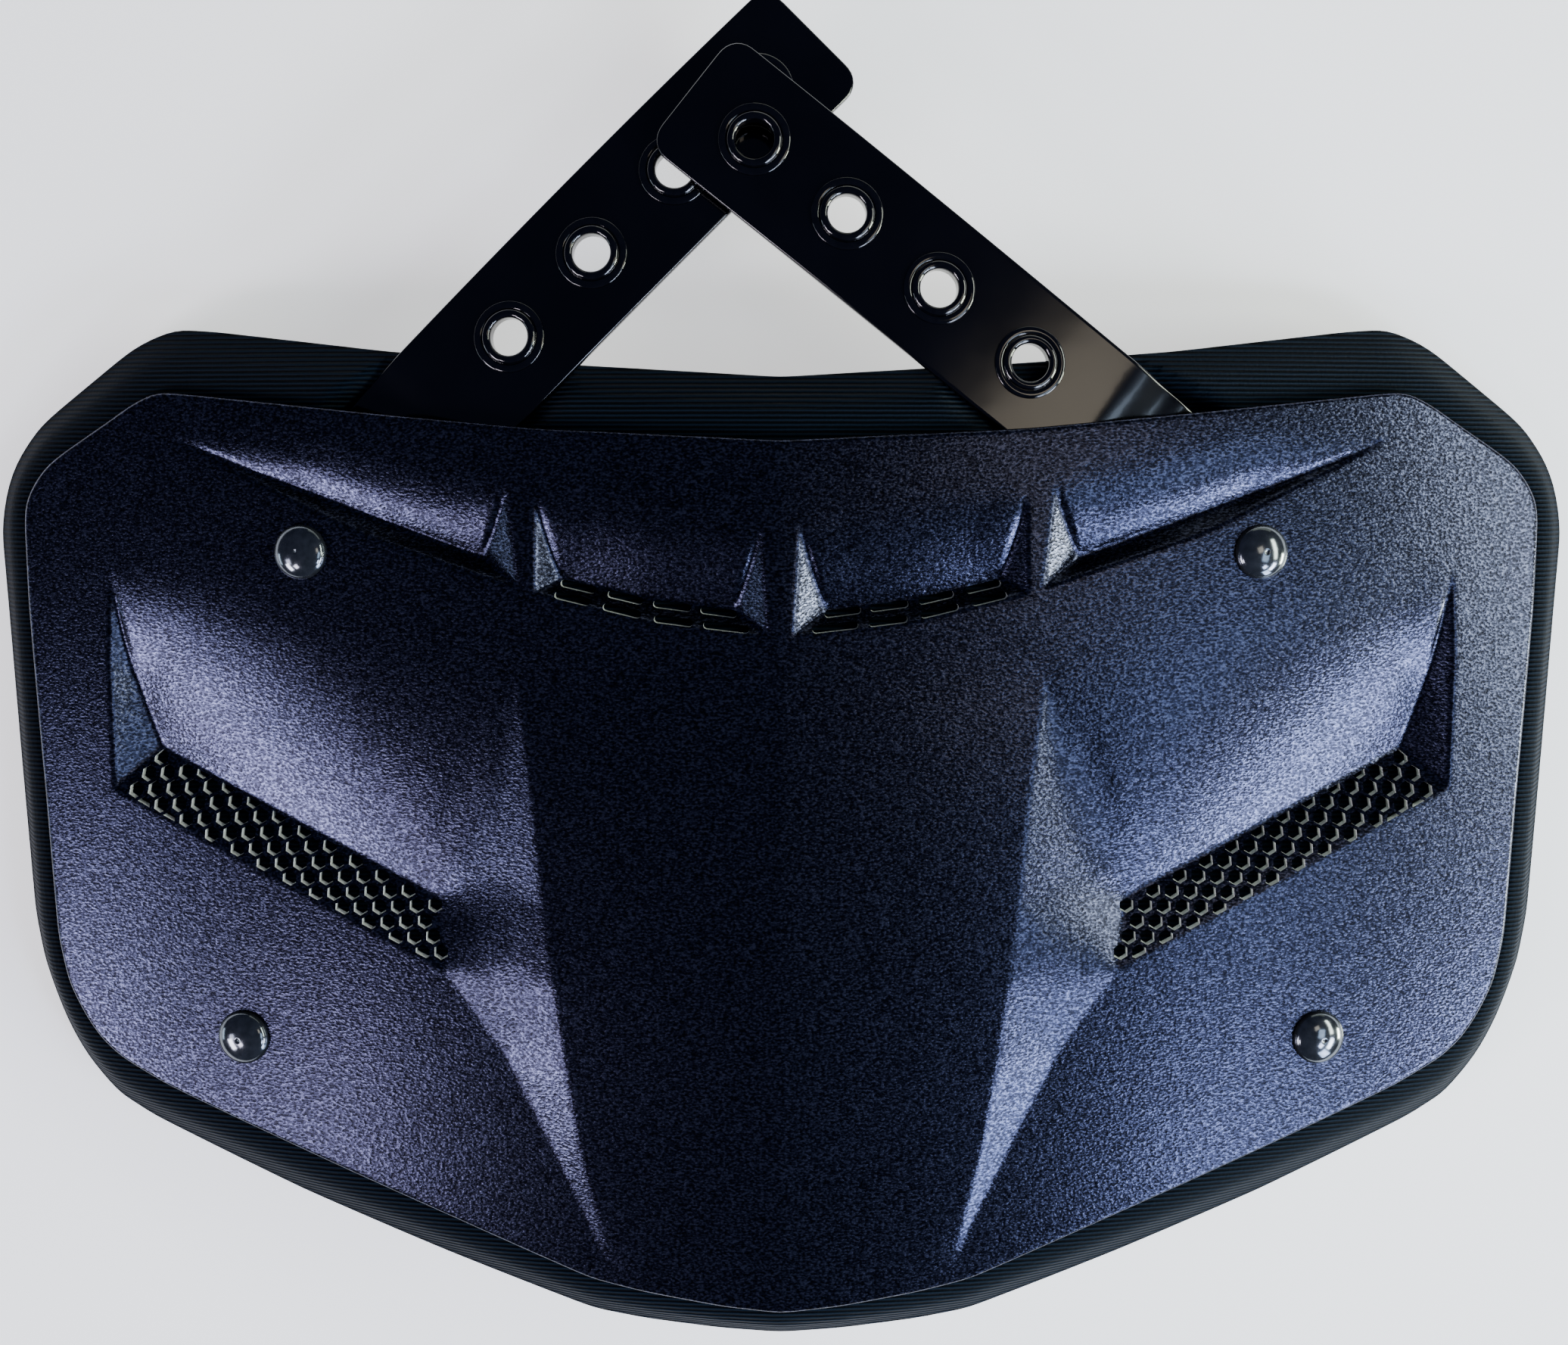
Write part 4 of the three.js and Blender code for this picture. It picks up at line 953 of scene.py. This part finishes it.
def shell_paint():
    """Dark metallic paint: a fine grain and finer flakes, both drawn out a little across the plate."""
    nodes = Nodes("shell_paint")
    grain = nodes.noise(nodes.object_coordinates((1250, 1950, 1250)), 1.0, 0.0)
    flakes = nodes.noise(nodes.object_coordinates((2100, 3100, 2100)), 1.0, 0.0)
    mixed = nodes.math("ADD", nodes.math("MULTIPLY", grain, 0.65), nodes.math("MULTIPLY", flakes, 0.35))
    shades = [(0.34, (0.005, 0.0055, 0.011)), (0.5, (0.016, 0.018, 0.035)), (0.68, (0.052, 0.058, 0.102))]
    nodes.colours(mixed, shades)
    nodes.roughness(flakes, 0.17, 0.32)
    nodes.bump(mixed, 0.27, 0.0003)
    nodes.set(Metallic=0.92)
    return nodes.material


def cut_plastic():
    """Pale colour in the cut walls of slots and honeycomb, lighter and darker in random patches."""
    nodes = Nodes("cut_plastic")
    cloudy = nodes.noise(nodes.object_coordinates(), 400)
    nodes.colours(cloudy, [(0.3, (0.55, 0.57, 0.52)), (0.7, (0.8, 0.82, 0.76))])
    nodes.set(Roughness=0.45)
    return nodes.material


def ribbed_knit():
    """Black knit with fine horizontal ribs and a stitch texture across them; its colour is darker in the rib hollows
    as painted shade.
    """
    nodes = Nodes("ribbed_knit")
    ribs = nodes.add("ShaderNodeTexWave", wave_type="BANDS", bands_direction="Y", wave_profile="SIN")
    ribs.inputs["Scale"].default_value = 2 * math.pi / (20 * RIB_PITCH * MM)
    ribs.inputs["Distortion"].default_value = 0.4
    ribs.inputs["Detail"].default_value = 1
    nodes.link(nodes.object_coordinates(), ribs.inputs["Vector"])
    stitches = nodes.noise(nodes.object_coordinates((1, 0.6, 1)), 1500, 2.0)
    height = nodes.math("ADD", ribs.outputs["Fac"], nodes.math("MULTIPLY", stitches, 0.35))
    # Colour follows the rib height: painted shade darkens the hollows between ribs, and the stitch noise adds the
    # yarn's own random tone.
    nodes.colours(height, [(0.25, (0.0004, 0.0009, 0.0016)), (1.1, (0.0032, 0.0086, 0.0165))])
    nodes.bump(height, 0.8, 0.0005)
    nodes.set(Roughness=0.62, Specular_IOR_Level=0.05, Sheen_Weight=0.002, Sheen_Roughness=0.4)
    return nodes.material


def glossy_vinyl():
    """Black patent vinyl with a faint unevenness."""
    nodes = Nodes("glossy_vinyl")
    waves = nodes.noise(nodes.object_coordinates(), 45, 2.0)
    nodes.roughness(waves, 0.08, 0.16)
    nodes.colours(waves, [(0.3, (0.0004, 0.0004, 0.0008)), (0.7, (0.001, 0.001, 0.002))])
    nodes.bump(waves, 0.15, 0.0006)
    nodes.set(Specular_IOR_Level=0.45, Coat_Weight=0.15, Coat_Roughness=0.05)
    return nodes.material


def black_enamel():
    """Glossy black enamel over the eyelets' metal."""
    nodes = Nodes("black_enamel")
    specks = nodes.noise(nodes.object_coordinates(), 700, 2.0)
    nodes.roughness(specks, 0.06, 0.14)
    nodes.colours(specks, [(0.3, (0.0006, 0.0006, 0.001)), (0.7, (0.0015, 0.0015, 0.0025))])
    nodes.set(Specular_IOR_Level=0.35, Coat_Weight=0.6, Coat_Roughness=0.03)
    return nodes.material


def satin_black_steel():
    """Blackened rivet steel with a soft shine."""
    nodes = Nodes("satin_black_steel")
    specks = nodes.noise(nodes.object_coordinates(), 600, 2.0)
    nodes.roughness(specks, 0.1, 0.16)
    nodes.colours(specks, [(0.3, (0.08, 0.09, 0.1)), (0.7, (0.13, 0.142, 0.158))])
    nodes.set(Metallic=0.9)
    return nodes.material


def pale_floor():
    """Plain pale ground with a faint glow that keeps it near white."""
    nodes = Nodes("pale_floor")
    nodes.set(Base_Color=(0.9, 0.9, 0.9, 1), Roughness=0.9)
    nodes.set(Emission_Color=(1, 1, 1, 1), Emission_Strength=0.9)
    return nodes.material


# Camera, floor and lights


def make_camera():
    camera = bpy.data.objects.new("camera", bpy.data.cameras.new("camera"))
    bpy.context.scene.collection.objects.link(camera)
    at, aim = Vector(CAMERA_AT) * MM, Vector(CAMERA_AIM) * MM
    ahead = (aim - at).normalized()
    side = ahead.cross(Vector((0, 1, 0))).normalized()
    up = side.cross(ahead)
    camera.matrix_world = Matrix((
        (side.x, up.x, -ahead.x, at.x), (side.y, up.y, -ahead.y, at.y), (side.z, up.z, -ahead.z, at.z), (0, 0, 0, 1)))
    camera.data.sensor_width = SENSOR_WIDTH
    camera.data.lens = SENSOR_WIDTH * FOCAL_PIXELS / PHOTO_WIDTH
    camera.data.clip_start = 0.01
    bpy.context.scene.camera = camera


def make_floor():
    turns = ((-1, -1), (1, -1), (1, 1), (-1, 1))
    points = [(x * FLOOR_REACH, y * FLOOR_REACH, -FLOOR_BELOW) for x, y in turns]
    floor = add_mesh("floor", points, [(0, 1, 2, 3)], None, [pale_floor()], smooth=False)


def make_lamp(name, azimuth, zenith, wide, high, power, colour):
    """A rectangular lamp on a dome over the plate, facing its centre; wide runs level."""
    turn, fall = math.radians(azimuth), math.radians(zenith)
    ahead = Vector((math.sin(fall) * math.cos(turn), math.sin(fall) * math.sin(turn), math.cos(fall)))
    data = bpy.data.lights.new(name, "AREA")
    data.shape = "RECTANGLE"
    data.size, data.size_y = wide, high
    data.energy = power
    data.color = colour
    lamp = bpy.data.objects.new(name, data)
    lamp.location = LAMP_DISTANCE * ahead
    lamp.rotation_euler = ahead.to_track_quat("Z", "Y").to_euler()
    bpy.context.scene.collection.objects.link(lamp)


def make_lights():
    world = bpy.data.worlds.new("world")
    bpy.context.scene.world = world
    world.use_nodes = True
    background = world.node_tree.nodes["Background"].inputs
    background["Color"].default_value = WORLD_COLOUR
    background["Strength"].default_value = WORLD_STRENGTH
    for lamp in LAMPS:
        make_lamp(*lamp)


# Assembly


def dress(piece, node):
    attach(piece, "root")
    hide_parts(node)


make_camera()
shell_rim, pad_rim = rim_loops()
paint, cut, knit, vinyl = shell_paint(), cut_plastic(), ribbed_knit(), glossy_vinyl()
enamel, steel = black_enamel(), satin_black_steel()

dress(make_shell(shell_rim, [paint, cut]), "shell_plate")
pad = make_pad(shell_rim, pad_rim, [knit])
dress(pad, "foam_pad")
for side in STRAPS:
    dress(make_strap(side, [vinyl, vinyl]), f"strap_{side}")
    for number in range(1, EYELET_COUNT + 1):
        dress(make_eyelet(side, number, [enamel]), f"eyelet_{side}_{number}")
    for level in RIVETS:
        dress(make_rivet(level, side, [steel]), f"rivet_{level}_{side}")

make_floor()
make_lights()
